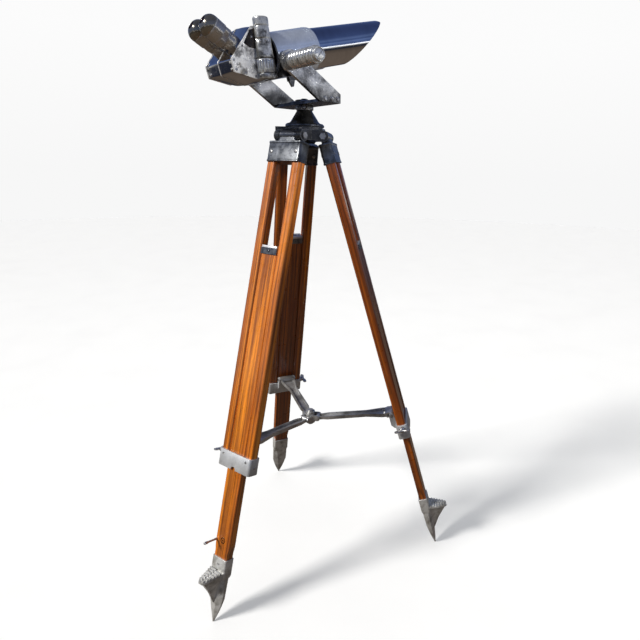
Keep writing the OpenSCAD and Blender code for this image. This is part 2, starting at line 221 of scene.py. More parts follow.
class Piece:
    """Solids gathered into one named object."""

    def __init__(self, name, body, slot):
        self.name, self.body, self.slot = name, body, slot
        self.v, self.f, self.m = [], [], []

    def add(self, vf, M=None, mi=0):
        verts, faces = vf
        o = len(self.v)
        for p in verts:
            q = Vector(p)
            self.v.append((M @ q if M is not None else q) * 0.001)
        for f in faces:
            self.f.append([o + i for i in f])
            self.m.append(mi)
        return self

    def build(self, mats, smooth=35, bevel=0.0, seg=2, angle=35, replaces=()):
        if not isinstance(mats, (list, tuple)):
            mats = [mats]
        me = bpy.data.meshes.new(self.name)
        me.from_pydata([tuple(p) for p in self.v], [], self.f)
        me.update()
        for mt in mats:
            me.materials.append(mt)
        me.polygons.foreach_set("material_index", self.m)
        bm = bmesh.new()
        bm.from_mesh(me)
        bmesh.ops.recalc_face_normals(bm, faces=bm.faces)
        bm.to_mesh(me)
        bm.free()
        me.polygons.foreach_set("use_smooth", [True] * len(me.polygons))
        me.set_sharp_from_angle(angle=radians(smooth))
        ob = bpy.data.objects.new(self.name, me)
        scene.collection.objects.link(ob)
        if bevel > 0:
            md = ob.modifiers.new("edges", "BEVEL")
            md.width = bevel * 0.001
            md.segments = seg
            md.limit_method = "ANGLE"
            md.angle_limit = radians(angle)
            md.harden_normals = True
        if replaces:
            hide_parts(*replaces)
        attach(ob, self.body)
        return ob


def slot_screw(p, M, r=4.0, h=1.8, turn=30.0, mi=0):
    """Cheese-head screw with a real slot; its foot is at z = 0 of M."""
    M = M @ R(turn, "Z")
    w = max(0.16 * r, 0.35)
    p.add(lathe(rnd([(0, -1.0), (r, -1.0), (r, h * 0.42, 0.1), (0, h * 0.42)], 2, closed=False), 28), M, mi)
    for s in (-1, 1):
        loops = []
        for rad, z in ((r, h * 0.40), (r, h * 0.78), (r * 0.95, h * 0.93), (r * 0.86, h)):
            a0 = asin(w / rad)
            loops.append([(rad * cos(a0 + (pi - 2 * a0) * k / 14), s * rad * sin(a0 + (pi - 2 * a0) * k / 14), z) for k in range(15)])
        p.add(loft(loops), M, mi)


def hex_head(p, M, r=6.0, h=4.0, turn=0.0, mi=0, washer=True):
    M = M @ R(turn, "Z")
    if washer:
        p.add(lathe(rnd([(0, -0.6), (r * 1.28, -0.6), (r * 1.28, 0.9, 0.3), (0, 0.9)], 2, closed=False), 32), M, mi)
    loops = []
    for k, z in ((1.0, 0.5), (1.0, h * 0.82), (0.9, h)):
        loops.append([(r * k * cos(radians(60 * i)), r * k * sin(radians(60 * i)), z) for i in range(6)])
    p.add(loft(loops), M, mi)


def cad(node, mat, smooth=32, bevel=0.0, seg=2, angle=40):
    """A CAD node that stays: a better material, smooth round faces and softened edges."""
    ob = NODES[node]
    ob.data.materials.clear()
    ob.data.materials.append(mat)
    ob.data.polygons.foreach_set("use_smooth", [True] * len(ob.data.polygons))
    ob.data.set_sharp_from_angle(angle=radians(smooth))
    if bevel > 0:
        md = ob.modifiers.new("edges", "BEVEL")
        md.width = bevel * 0.001
        md.segments = seg
        md.limit_method = "ANGLE"
        md.angle_limit = radians(angle)
        md.harden_normals = True
    return ob


# ------------------------------------------------------------------ materials
class Mat:
    def __init__(self, name):
        self.mat = bpy.data.materials.new(name)
        self.mat.use_nodes = True
        self.nt = self.mat.node_tree
        self.b = self.nt.nodes["Principled BSDF"]
        self.tc = self.nt.nodes.new("ShaderNodeTexCoord")
        self.obj = self.tc.outputs["Object"]

    def node(self, kind, **kw):
        n = self.nt.nodes.new(kind)
        for k, v in kw.items():
            setattr(n, k, v)
        return n

    def link(self, a, b):
        self.nt.links.new(a, b)

    def mapping(self, vec, loc=(0, 0, 0), rot=(0, 0, 0), scale=(1, 1, 1)):
        n = self.node("ShaderNodeMapping")
        n.inputs["Location"].default_value = loc
        n.inputs["Rotation"].default_value = rot
        n.inputs["Scale"].default_value = scale
        self.link(vec, n.inputs["Vector"])
        return n.outputs["Vector"]

    def noise(self, scale, detail=4, rough=0.55, dist=0.0, vec=None, out="Fac"):
        n = self.node("ShaderNodeTexNoise")
        n.inputs["Scale"].default_value = scale
        n.inputs["Detail"].default_value = detail
        n.inputs["Roughness"].default_value = rough
        n.inputs["Distortion"].default_value = dist
        self.link(vec or self.obj, n.inputs["Vector"])
        return n.outputs[out]

    def voronoi(self, scale, vec=None, feature="F1"):
        n = self.node("ShaderNodeTexVoronoi", feature=feature)
        n.inputs["Scale"].default_value = scale
        self.link(vec or self.obj, n.inputs["Vector"])
        return n.outputs["Distance"]

    def wave(self, scale, vec, dist=2.0, detail=2.0, dscale=1.0, kind="BANDS", direction="X"):
        n = self.node("ShaderNodeTexWave", wave_type=kind)
        if kind == "BANDS":
            n.bands_direction = direction
        else:
            n.rings_direction = direction
        n.inputs["Scale"].default_value = scale
        n.inputs["Distortion"].default_value = dist
        n.inputs["Detail"].default_value = detail
        n.inputs["Detail Scale"].default_value = dscale
        self.link(vec, n.inputs["Vector"])
        return n.outputs["Fac"]

    def ramp(self, fac, stops, interp="LINEAR"):
        n = self.node("ShaderNodeValToRGB")
        n.color_ramp.interpolation = interp
        el = n.color_ramp.elements
        while len(el) > len(stops):
            el.remove(el[-1])
        while len(el) < len(stops):
            el.new(0.5)
        for e_, (pos, col) in zip(el, stops):
            e_.position = pos
            if not isinstance(col, (tuple, list)):
                col = (col, col, col)
            e_.color = (*col[:3], 1)
        self.link(fac, n.inputs["Fac"])
        return n.outputs["Color"]

    def mix(self, fac, a, b, blend="MIX"):
        n = self.node("ShaderNodeMix", data_type="RGBA", blend_type=blend)
        for sock, val in ((n.inputs[0], fac), (n.inputs[6], a), (n.inputs[7], b)):
            if isinstance(val, (int, float)):
                sock.default_value = val if sock.type == "VALUE" else (val, val, val, 1)
            elif isinstance(val, tuple):
                sock.default_value = (*val[:3], 1)
            else:
                self.link(val, sock)
        return n.outputs[2]

    def math(self, op, a, b=0.0, c=None, clamp=False):
        n = self.node("ShaderNodeMath", operation=op, use_clamp=clamp)
        for i, val in enumerate((a, b, c)):
            if val is None:
                continue
            if isinstance(val, (int, float)):
                n.inputs[i].default_value = val
            else:
                self.link(val, n.inputs[i])
        return n.outputs[0]

    def remap(self, fac, a, b, lo=0.0, hi=1.0):
        n = self.node("ShaderNodeMapRange")
        self.link(fac, n.inputs["Value"])
        n.inputs["From Min"].default_value = a
        n.inputs["From Max"].default_value = b
        n.inputs["To Min"].default_value = lo
        n.inputs["To Max"].default_value = hi
        return n.outputs["Result"]

    def bump(self, height, strength=0.2, dist=0.001, normal=None):
        n = self.node("ShaderNodeBump")
        n.inputs["Strength"].default_value = strength
        n.inputs["Distance"].default_value = dist
        self.link(height, n.inputs["Height"])
        if normal is not None:
            self.link(normal, n.inputs["Normal"])
        return n.outputs["Normal"]

    def set(self, **kw):
        names = {"color": "Base Color", "rough": "Roughness", "metal": "Metallic", "normal": "Normal",
                 "coat": "Coat Weight", "coat_rough": "Coat Roughness", "spec": "Specular IOR Level",
                 "ior": "IOR", "sheen": "Sheen Weight", "trans": "Transmission Weight", "alpha": "Alpha"}
        for k, v in kw.items():
            s = self.b.inputs[names[k]]
            if isinstance(v, (int, float)):
                s.default_value = v
            elif isinstance(v, tuple):
                s.default_value = (*v[:3], 1)
            else:
                self.link(v, s)
        return self.mat


def leg_vec(m, key):
    """Coordinates along the leg's own axes, metres."""
    L = LEG[key].copy()
    L.translation *= 0.001
    inv = L.inverted()
    return m.mapping(m.obj, loc=tuple(inv.translation), rot=tuple(inv.to_euler("XYZ")))


def wood(key, seed, warm=1.0):
    m = Mat("varnished_wood_" + key)
    v = leg_vec(m, key)
    # slow wander of the grain along the length
    wander = m.noise(1.0, 2, 0.5, vec=m.mapping(v, loc=(seed, seed * 2.1, 0), scale=(6, 6, 1.6)), out="Color")
    vd = m.node("ShaderNodeVectorMath", operation="MULTIPLY_ADD")
    m.link(wander, vd.inputs[0])
    vd.inputs[1].default_value = (0.012, 0.012, 0.0)
    m.link(v, vd.inputs[2])
    g = vd.outputs[0]
    broad = m.noise(1.0, 3, 0.55, vec=m.mapping(g, loc=(seed * 3, 0, seed), scale=(34, 34, 1.1)))
    streak = m.noise(1.0, 5, 0.62, vec=m.mapping(g, loc=(0, seed, 0), scale=(150, 150, 3.2)))
    fine = m.noise(1.0, 4, 0.6, vec=m.mapping(g, loc=(seed, 0, 4), scale=(620, 620, 10)))
    ring = m.wave(1.0, m.mapping(g, loc=(0.02 + seed * 0.01, 0.013, 0), scale=(26, 26, 0.5)), dist=2.6, detail=3, dscale=1.4, kind="RINGS", direction="Z")
    col = m.ramp(broad, [(0.22, (0.22, 0.040, 0.003)), (0.40, (0.52, 0.125, 0.006)), (0.56, (0.78, 0.225, 0.010)), (0.78, (1.0, 0.360, 0.030))])
    dark = m.ramp(streak, [(0.36, (0.16, 0.11, 0.09)), (0.46, (0.66, 0.58, 0.52)), (0.58, (1.0, 1.0, 1.0)), (0.70, (1.22, 1.16, 1.10))])
    col = m.mix(0.92, col, dark, "MULTIPLY")
    col = m.mix(m.remap(ring, 0.50, 1.0, 0.0, 0.62), col, (0.115, 0.018, 0.003))
    # pores and short dark flecks
    pore = m.noise(1.0, 2, 0.5, vec=m.mapping(g, loc=(0, 7, seed), scale=(1500, 1500, 45)))
    col = m.mix(m.remap(pore, 0.58, 0.72, 0.0, 0.65), col, (0.050, 0.010, 0.003))
    col = m.mix(m.remap(fine, 0.3, 0.8, 0.0, 0.18), col, (0.86, 0.36, 0.06))
    # stains and worn varnish, more of it low on the leg
    sep = m.node("ShaderNodeSeparateXYZ")
    m.link(v, sep.inputs[0])
    low = m.remap(sep.outputs["Z"], -0.95, -1.22, 0.0, 0.55)
    blot = m.remap(m.noise(14, 5, 0.65), 0.46, 0.70)
    col = m.mix(m.math("MULTIPLY", blot, low, clamp=True), col, tuple(c * warm for c in (0.060, 0.020, 0.008)))
    # warm below 1 darkens and reddens the whole leg: painted shade for the legs turned away from the key light
    col = m.mix(1.0, col, (warm, warm ** 1.35, warm ** 1.5), "MULTIPLY")
    rough = m.remap(m.noise(40, 5, 0.6), 0.3, 0.75, 0.24, 0.44)
    h = m.math("ADD", m.math("MULTIPLY", streak, 0.6), m.math("MULTIPLY", pore, -0.5))
    nrm = m.bump(h, 0.22, 0.0006)
    m.set(color=col, rough=rough, normal=nrm, coat=0.75, coat_rough=0.13, spec=0.5)
    m.link(m.bump(m.noise(60, 3, 0.5), 0.05, 0.001), m.b.inputs["Coat Normal"])
    return m.mat


def metal(name, light, dark, r0, r1, mott=22.0, amount=0.6, pits=0.25, stain=None, scratch=0.3, spread=(0.42, 0.66), warm=None, amt=1.0, big=0.0, low=None):
    m = Mat(name)
    cloud = m.noise(mott, 6, 0.62, 0.3)
    col = m.ramp(cloud, [(spread[0], light), (spread[1], dark)])
    small = m.noise(mott * 9, 4, 0.6)
    col = m.mix(m.remap(small, 0.52, 0.78, 0.0, 0.35), col, dark)
    if big > 0:
        shade_ = m.remap(m.noise(mott * 0.33, 3, 0.55, 0.8), 0.44, 0.62, 0.0, big)
        col = m.mix(shade_, col, tuple(c * 0.30 for c in dark))
    # low darkens the surface below a world height, from low[0] down to low[1], broken up by noise: painted shade
    if low is not None:
        sz = m.node("ShaderNodeSeparateXYZ")
        m.link(m.obj, sz.inputs[0])
        low_shade_band = m.math("SUBTRACT", m.remap(sz.outputs["Z"], low[0], low[1], 0.0, 1.0), m.remap(m.noise(22, 4, 0.6, 0.6), 0.35, 0.68, 0.0, 0.62), clamp=True)
        col = m.mix(m.math("MULTIPLY", low_shade_band, low[2], clamp=True), col, tuple(c * 0.22 for c in dark))
    if stain is not None:
        s = m.remap(m.noise(mott * 0.7, 5, 0.7, 0.6), 0.56, 0.72)
        col = m.mix(m.math("MULTIPLY", s, stain[1], clamp=True), col, stain[0])
    if warm is not None:
        col = m.mix(m.remap(m.noise(mott * 1.7, 4, 0.6), 0.5, 0.7, 0.0, warm[1]), col, warm[0])
    pit = m.voronoi(900)
    pitm = m.remap(pit, 0.10, 0.28, 1.0, 0.0)
    rare = m.math("MULTIPLY", pitm, m.remap(m.noise(120, 2, 0.5), 0.55, 0.68), clamp=True)
    col = m.mix(m.math("MULTIPLY", rare, pits * 2, clamp=True), col, tuple(c * 0.35 for c in dark))
    rough = m.remap(m.noise(mott * 2.3, 6, 0.65), 0.32, 0.72, r0, r1)
    # fine scratches in two directions
    s1 = m.noise(1.0, 3, 0.7, vec=m.mapping(m.obj, rot=(0.3, 0.5, 0.9), scale=(40, 1400, 1400)))
    s2 = m.noise(1.0, 3, 0.7, vec=m.mapping(m.obj, rot=(1.1, -0.4, 0.2), scale=(1300, 50, 1300)))
    h = m.math("ADD", m.math("MULTIPLY", s1, scratch), m.math("MULTIPLY", s2, scratch))
    h = m.math("SUBTRACT", h, m.math("MULTIPLY", rare, pits * 4))
    h = m.math("ADD", h, m.math("MULTIPLY", m.noise(mott * 5, 3, 0.5), 0.8 * amount))
    m.set(color=col, rough=rough, metal=amt, normal=m.bump(h, 0.12, 0.0006))
    return m.mat


def mirror(name, tint=(0.80, 0.83, 0.88), r0=0.035, r1=0.14, wav=0.05, amt=1.0):
    m = Mat(name)
    smear = m.noise(16, 6, 0.6, 1.0)
    col = m.ramp(smear, [(0.35, tint), (0.70, tuple(c * 0.80 for c in tint))])
    spot = m.remap(m.noise(260, 3, 0.6), 0.66, 0.78, 0.0, 0.35)
    col = m.mix(spot, col, (0.42, 0.42, 0.43))
    rough = m.remap(m.noise(30, 6, 0.65, 0.5), 0.35, 0.75, r0, r1)
    h = m.math("ADD", m.math("MULTIPLY", m.noise(18, 2, 0.4), 1.0), m.math("MULTIPLY", m.noise(700, 3, 0.6), 0.02))
    m.set(color=col, rough=rough, metal=amt, normal=m.bump(h, wav, 0.002))
    return m.mat


def enamel(name, base=(0.018, 0.019, 0.022), worn=(0.42, 0.42, 0.43), r0=0.16, r1=0.42, wear=0.5):
    m = Mat(name)
    bev = m.node("ShaderNodeBevel", samples=4)
    bev.inputs["Radius"].default_value = 0.0022
    geo = m.node("ShaderNodeNewGeometry")
    dot = m.node("ShaderNodeVectorMath", operation="DOT_PRODUCT")
    m.link(bev.outputs["Normal"], dot.inputs[0])
    m.link(geo.outputs["Normal"], dot.inputs[1])
    edge = m.remap(dot.outputs["Value"], 0.995, 0.93, 0.0, 1.0)
    chip = m.remap(m.noise(210, 5, 0.7), 0.44, 0.60)
    cloud = m.noise(38, 6, 0.65)
    patch = m.remap(cloud, 0.64, 0.70, 0.0, wear)
    fac = m.math("MAXIMUM", m.math("MULTIPLY", edge, chip), patch, clamp=True)
    col = m.mix(m.remap(cloud, 0.3, 0.7), base, tuple(min(1, c * 2.6) for c in base))
    col = m.mix(fac, col, worn)
    rough = m.mix(fac, m.remap(m.noise(70, 5, 0.6), 0.3, 0.7, r0, r1), 0.32)
    met = m.math("MULTIPLY", fac, 0.9)
    h = m.math("SUBTRACT", m.math("MULTIPLY", m.noise(420, 4, 0.6), 0.5), m.math("MULTIPLY", fac, 0.6))
    m.set(color=col, rough=rough, metal=met, normal=m.bump(h, 0.18, 0.0006), coat=0.35, coat_rough=0.18)
    return m.mat


def glossy(name, base, r0, r1, metal_=0.0, coat=0.5):
    m = Mat(name)
    c = m.noise(45, 6, 0.6)
    col = m.ramp(c, [(0.3, base), (0.75, tuple(min(1.0, k * 1.9 + 0.01) for k in base))])
    dust = m.remap(m.noise(300, 4, 0.6), 0.6, 0.8, 0.0, 0.18)
    col = m.mix(dust, col, (0.35, 0.33, 0.30))
    m.set(color=col, rough=m.remap(m.noise(80, 5, 0.6), 0.3, 0.7, r0, r1), metal=metal_,
          normal=m.bump(m.noise(500, 3, 0.6), 0.06, 0.0004), coat=coat, coat_rough=0.08)
    return m.mat


# legs a and c get darker, redder copies of leg b's wood through warm: painted shade
M_WOOD = {"a": wood("a", 1.3, 0.55), "b": wood("b", 4.7, 1.0), "c": wood("c", 8.2, 0.66)}
M_CAST = metal("cast_aluminium", (0.66, 0.66, 0.66), (0.36, 0.36, 0.36), 0.28, 0.50, mott=26, stain=((0.26, 0.22, 0.17), 0.35), amt=0.72)
M_BRACKET = metal("satin_bracket", (0.66, 0.67, 0.68), (0.50, 0.51, 0.52), 0.36, 0.55, mott=18, amount=0.4, pits=0.15, scratch=0.2, amt=0.50)
M_CAP = metal("dark_cap_casting", (0.22, 0.23, 0.245), (0.075, 0.08, 0.085), 0.24, 0.42, mott=36, amount=0.9, pits=0.4, amt=0.82, big=0.30)
M_SHOE = metal("worn_casting", (0.74, 0.74, 0.72), (0.36, 0.35, 0.32), 0.30, 0.55, mott=34, amount=1.2, pits=0.5, stain=((0.26, 0.21, 0.155), 0.45), amt=0.50)
M_ARM = metal("spreader_casting", (0.64, 0.64, 0.63), (0.28, 0.27, 0.26), 0.26, 0.48, mott=20, amount=1.0, pits=0.4, amt=0.72, big=0.25)
M_PLATE = metal("mottled_plate", (0.88, 0.87, 0.85), (0.20, 0.195, 0.19), 0.22, 0.42, mott=44, amount=0.9, pits=0.6, stain=((0.40, 0.35, 0.26), 0.5), spread=(0.50, 0.62), amt=0.50, big=0.10)
M_TOWER = metal("tower_metal", (0.66, 0.66, 0.64), (0.12, 0.12, 0.115), 0.24, 0.40, mott=52, amount=0.7, pits=0.4, spread=(0.46, 0.61), amt=0.72, big=0.20)
# the fork plates darken towards their lower edge, below 1.40 m: painted shade
M_FORK = metal("fork_plate", (0.78, 0.78, 0.77), (0.20, 0.20, 0.20), 0.16, 0.32, mott=15, amount=0.8, stain=((0.050, 0.045, 0.040), 0.7), spread=(0.50, 0.64), amt=0.74, big=0.45, low=(1.440, 1.400, 1.25))
M_BASE = metal("fork_base_dark", (0.26, 0.26, 0.26), (0.05, 0.05, 0.052), 0.12, 0.34, mott=30, amount=0.8, spread=(0.36, 0.60), big=0.5)
M_GRIP = metal("ribbed_grip", (0.84, 0.84, 0.82), (0.46, 0.46, 0.44), 0.12, 0.28, mott=60, amount=0.5, amt=0.74)
M_STEEL = metal("worn_steel", (0.62, 0.62, 0.61), (0.24, 0.23, 0.22), 0.22, 0.42, mott=70, stain=((0.18, 0.12, 0.07), 0.4), amt=0.85)
M_MIRROR = mirror("polished_tube", (0.80, 0.82, 0.86))
# the barrel's blue tint stands in for the sky it reflects: painted reflection
M_BARREL = mirror("polished_barrel", (0.80, 0.87, 0.98), 0.12, 0.24, 0.10, 0.76)
M_HOUSE = mirror("polished_housing", (0.60, 0.62, 0.66), 0.05, 0.20, 0.09)
M_EYE = mirror("polished_eyepiece", (0.56, 0.53, 0.48), 0.16, 0.30, 0.08, 0.90)
M_EYERING = metal("eyepiece_ring", (0.78, 0.77, 0.73), (0.40, 0.38, 0.35), 0.16, 0.30, mott=60, amount=0.5, amt=0.8)
M_BLACK = enamel("worn_black_enamel", wear=0.35)
M_HEADTOP = metal("head_turntable", (0.26, 0.265, 0.27), (0.045, 0.047, 0.05), 0.12, 0.30, mott=30, amount=0.7, spread=(0.34, 0.60), amt=0.9)
M_CUP = mirror("eyecup_gloss", (0.34, 0.31, 0.25), 0.10, 0.20, 0.05, 0.88)
M_DARKIN = glossy("matt_black_inside", (0.012, 0.012, 0.013), 0.55, 0.8, 0.0, 0.0)
M_RUBBER = glossy("black_recess", (0.016, 0.016, 0.017), 0.25, 0.5, 0.0, 0.2)
M_RECESS = metal("brown_recess", (0.10, 0.078, 0.058), (0.030, 0.024, 0.020), 0.16, 0.34, mott=40, amount=0.6)
M_BRASS = metal("old_brass", (0.62, 0.44, 0.20), (0.30, 0.20, 0.09), 0.2, 0.42, mott=60)
M_INK = glossy("engraved_black", (0.02, 0.02, 0.02), 0.4, 0.6, 0.0, 0.0)


def lens_mat():
    m = Mat("coated_lens")
    lw = m.node("ShaderNodeLayerWeight")
    lw.inputs["Blend"].default_value = 0.35
    col = m.ramp(lw.outputs["Facing"], [(0.0, (0.020, 0.012, 0.045)), (0.5, (0.055, 0.022, 0.10)), (1.0, (0.10, 0.05, 0.02))])
    dust = m.remap(m.noise(420, 4, 0.6), 0.62, 0.82, 0.0, 0.12)
    col = m.mix(dust, col, (0.4, 0.4, 0.4))
    m.set(color=col, rough=m.remap(m.noise(60, 4, 0.6), 0.4, 0.8, 0.02, 0.07), coat=1.0, coat_rough=0.02, spec=0.8,
          normal=m.bump(m.noise(30, 2, 0.5), 0.01, 0.001))
    return m.mat


def vial_mat():
    m = Mat("level_fluid")
    col = m.ramp(m.noise(90, 3, 0.5), [(0.3, (0.42, 0.55, 0.10)), (0.8, (0.55, 0.68, 0.16))])
    m.set(color=col, rough=m.remap(m.noise(60, 3, 0.5), 0.4, 0.8, 0.03, 0.10), coat=1.0, coat_rough=0.02, normal=m.bump(m.noise(80, 2, 0.5), 0.02, 0.001))
    return m.mat


M_LENS = lens_mat()
M_VIAL = vial_mat()

# ------------------------------------------------------------------ instrument: barrels, sunshades, objectives
for k, s in SIDE.items():
    prof = rnd([(38, -19.9), (46.0, -19.9, 0.5), (47.4, -10, 6), (47.9, 0, 20), (49.6, 84, 20), (49.75, 91, 4),
                (48.9, 97.6, 4), (47.3, 100.9, 1.0), (46.4, 100.9, 0.3), (46.4, -8), (38, -8)], 5)
    p = Piece("barrel_shell_" + k, "instrument", "polished")
    p.add(lathe(prof, 144, closed=True), TUBE[k])
    # two thin turned lines near the front ring
    for z, r in ((78.0, 49.50), (86.5, 49.72)):
        p.add(lathe(rnd([(r - 0.6, z - 0.5), (r + 0.22, z - 0.5, 0.2), (r + 0.22, z + 0.5, 0.2), (r - 0.6, z + 0.5)], 2), 144, closed=True), TUBE[k])
    p.build(M_BARREL, smooth=30, replaces=("barrel_" + k,))

    # sunshade: thin tube with a slanting mouth, blackened inside
    def shade(k=k):
        n = 168
        rows = []

        def uend(r, t):
            x = r * cos(t)                        # x of the tube frame points down
            a, b = 271.0 - 1.558 * x, 324.0 + 1.2 * (46.0 + x)
            q = max(0.0, 7.0 - abs(a - b)) / 7.0
            return min(a, b) - q * q * 7.0 / 4.0
        spec = [(46.0, 0.0, 0.0), (46.0, 0.02, 0), (46.0, 0.25, 0), (46.0, 0.5, 0), (46.0, 0.75, 0), (46.0, 1.0, -1.4), (45.98, 1.0, -0.5), (45.75, 1.0, -0.05), (45.5, 1.0, 0.0),
                (44.9, 1.0, 0.0), (44.65, 1.0, -0.05), (44.42, 1.0, -0.5), (44.4, 1.0, -1.4), (44.4, 0.5, 0), (44.4, 0.0, 0)]
        verts, faces, mi = [], [], []
        for r, f, d in spec:
            for j in range(n):
                t = 2 * pi * j / n
                u = 66.0 + f * (uend(r, t) - 66.0) + d
                verts.append((r * cos(t), r * sin(t), u))
        m_ = len(spec)
        for i in range(m_):
            i2 = (i + 1) % m_
            for j in range(n):
                j2 = (j + 1) % n
                faces.append((i * n + j, i * n + j2, i2 * n + j2, i2 * n + j))
                mi.append(1 if i >= 12 else 0)
        return verts, faces, mi
    v, f, mi = shade()
    p = Piece("sunshade_" + k, "sunshade_" + k, "polished")
    p.add((v, f), TUBE[k])
    p.m = mi
    p.build([M_MIRROR, M_DARKIN], smooth=35, replaces=("shade_tube_" + k,))

    # objective: cell with a notched retaining ring, coated glass
    p = Piece("objective_cell_" + k, "instrument", "blackened")
    p.add(lathe(rnd([(36, -7.95), (43.6, -7.95, 0.5), (43.6, 16.05, 0.8), (41.6, 16.05, 0.6), (40.4, 12.0), (40.02, 12.0), (40.02, -6.5), (36, -6.5)], 3), 96, closed=True), TUBE[k])

    def notch(r, z, t):
        a = (t * 180 / pi) % 60
        return (r, z - (1.3 if (a < 5 or a > 55) and z > 13.5 else 0))
    p.add(lathe(rnd([(38.2, 11.2), (41.2, 11.2), (41.2, 14.4, 0.3), (38.8, 14.4, 0.3)], 2), 144, closed=True, fn=notch), TUBE[k])
    p.build(M_RUBBER, smooth=35)
    prof = [(0, 11.9)]
    for i in range(1, 14):
        r = 39.9 * i / 13
        prof.append((r, -134.5 + sqrt(146.4 ** 2 - r * r)))
    prof += [(39.9, -6.2), (0, -6.2)]
    p = Piece("objective_glass_" + k, "instrument", "lens")
    p.add(lathe(prof, 96), TUBE[k])
    p.build(M_LENS, smooth=40, replaces=("objective_" + k,))

# ------------------------------------------------------------------ instrument: prism housing
HP = [(-128, -2, 5), (-128, 25, 5), (-60, 82, 9), (-20, 82, 4), (-20, -27, 4), (-76, -24, 10)]
outline = rnd(HP, 6)
# resample evenly
pts = [Vector(q) for q in outline] + [Vector(outline[0])]
res = []
for a, b in zip(pts, pts[1:]):
    m_ = max(1, int((b - a).length / 4.0))
    for i in range(m_):
        res.append(a.lerp(b, i / m_))
loops = []
NV = 44
for j in range(NV + 1):
    v_ = -66 + 132 * j / NV
    q = v_ / 66
    crown = (1 - abs(q) ** 2.2)
    edge = 1.0 - max(0.0, (abs(q) - 0.97) / 0.03) * 0.006
    lp = []
    for c in res:
        u, w = c.x, c.y
        top = max(0.0, min(1.0, (w - 30) / 50))
        bot = max(0.0, min(1.0, (6 - w) / 30))
        # crown over the top, soft belly below, fading to the front joint
        dw = 6.0 * crown * top * (1 if u > -60 else 1)
        dw -= 7.0 * crown * bot * max(0.0, min(1.0, (-22 - u) / 30))
        # rear face: two flats that meet at the middle seam
        du = 0.0
        if u < -120:
            du = 3.0 * (abs(q)) ** 1.5
        lp.append(((u * edge - 24 * (1 - edge)) + du, v_, (w + dw) * edge + 26 * (1 - edge)))
    loops.append(lp)
p = Piece("prism_body", "instrument", "polished")
p.add(loft(loops), INST)
p.build(M_HOUSE, smooth=28, replaces=("prism_housing",))


def seam_path():
    path = []
    for c in res:
        u, w = c.x, c.y
        top = max(0.0, min(1.0, (w - 30) / 50))
        bot = max(0.0, min(1.0, (6 - w) / 30))
        dw = 6.0 * top - 7.0 * bot * max(0.0, min(1.0, (-22 - u) / 30))
        path.append((u, w + dw))
    return path


sp = seam_path()
# the strip runs from the belly up the rear face and the slope to the crown
cx, cz = -60, 25
ordered = [q for q in sp if q[0] < -21.5]
i0 = min(range(len(ordered)), key=lambda i: (ordered[i][1] > -20, abs(ordered[i][0] + 24)))
belly = [q for q in ordered if q[1] < 0]
start = max(belly, key=lambda q: q[0])
i0 = ordered.index(start)
ordered = ordered[i0:] + ordered[:i0]
loops = []
for i, (u, w) in enumerate(ordered):
    a = Vector(ordered[max(i - 1, 0)])
    b = Vector(ordered[min(i + 1, len(ordered) - 1)])
    d = (b - a)
    if d.length < 1e-6:
        continue
    d.normalize()
    nrm = Vector((d.y, -d.x))
    if nrm.dot(Vector((u - cx, w - cz))) < 0:
        nrm = -nrm
    c0 = Vector((u, w)) - nrm * 1.2
    c1 = Vector((u, w)) + nrm * 0.75
    c2 = Vector((u, w)) + nrm * 1.15
    loops.append([(c0.x, -1.7, c0.y), (c1.x, -1.7, c1.y), (c2.x, -1.0, c2.y), (c2.x, 1.0, c2.y), (c1.x, 1.7, c1.y), (c0.x, 1.7, c0.y)])
p = Piece("housing_seam", "instrument", "aluminium")
p.add(loft(loops), INST)
for u, w, n_ in ((-128.5, 5, -90), (-128.5, 19, -90)):
    for s in (-1, 1):
        slot_screw(p, INST @ T(-126.4, s * 58, w) @ R(n_, "Y"), 2.6, 1.4, 20 * s + w)
p.build(M_PLATE, smooth=35)

# side plates
PL = [(-128.6, 25, 3), (-128.6, -2.6, 3), (-77, -24.5, 3), (-20, -28, 2), (-18, 16, 3), (-24, 82, 3), (-59, 84, 3)]
for k, s in SIDE.items():
    p = Piece("side_cover_" + k, "instrument", "aluminium")
    y0, y1 = (-72, -66.02) if s < 0 else (66.02, 72)
    p.add(side_poly(rnd(PL, 4), y0, y1), INST)
    body_ = p.build(M_PLATE, smooth=35, bevel=1.3, seg=3, replaces=("side_plate_" + k,))
    # screws round the cover's edge
    q = Piece("cover_screws_" + k, "instrument", "steel")
    for i, (u, w) in enumerate([(-122.5, 22), (-122.5, 2), (-101, -8.6), (-78, -18), (-93, 47), (-73, 64)] + ([(-40, 75), (-26, -20)] if s > 0 else [])):
        slot_screw(q, INST @ T(u, s * 72.0, w) @ R(-90 * s, "X"), 2.7, 0.9, 37 * i)
    q.build(M_STEEL, smooth=35)

# ------------------------------------------------------------------ filter tower, selector wheel and bearing ring
def tower_r(r, z, t):
    a = (t * 180 / pi) % 360
    # shallow recess round the near side, with a rounded lower edge
    d = abs((a - 255 + 180) % 360 - 180)
    low = 44 + 0.0020 * d * d
    if z > low and z < 57 and d < 74:
        f = min(1.0, (z - low) / 1.5, (57 - z) / 1.5, (74 - d) / 4)
        r -= 1.3 * max(0.0, f)
    return (r, z)


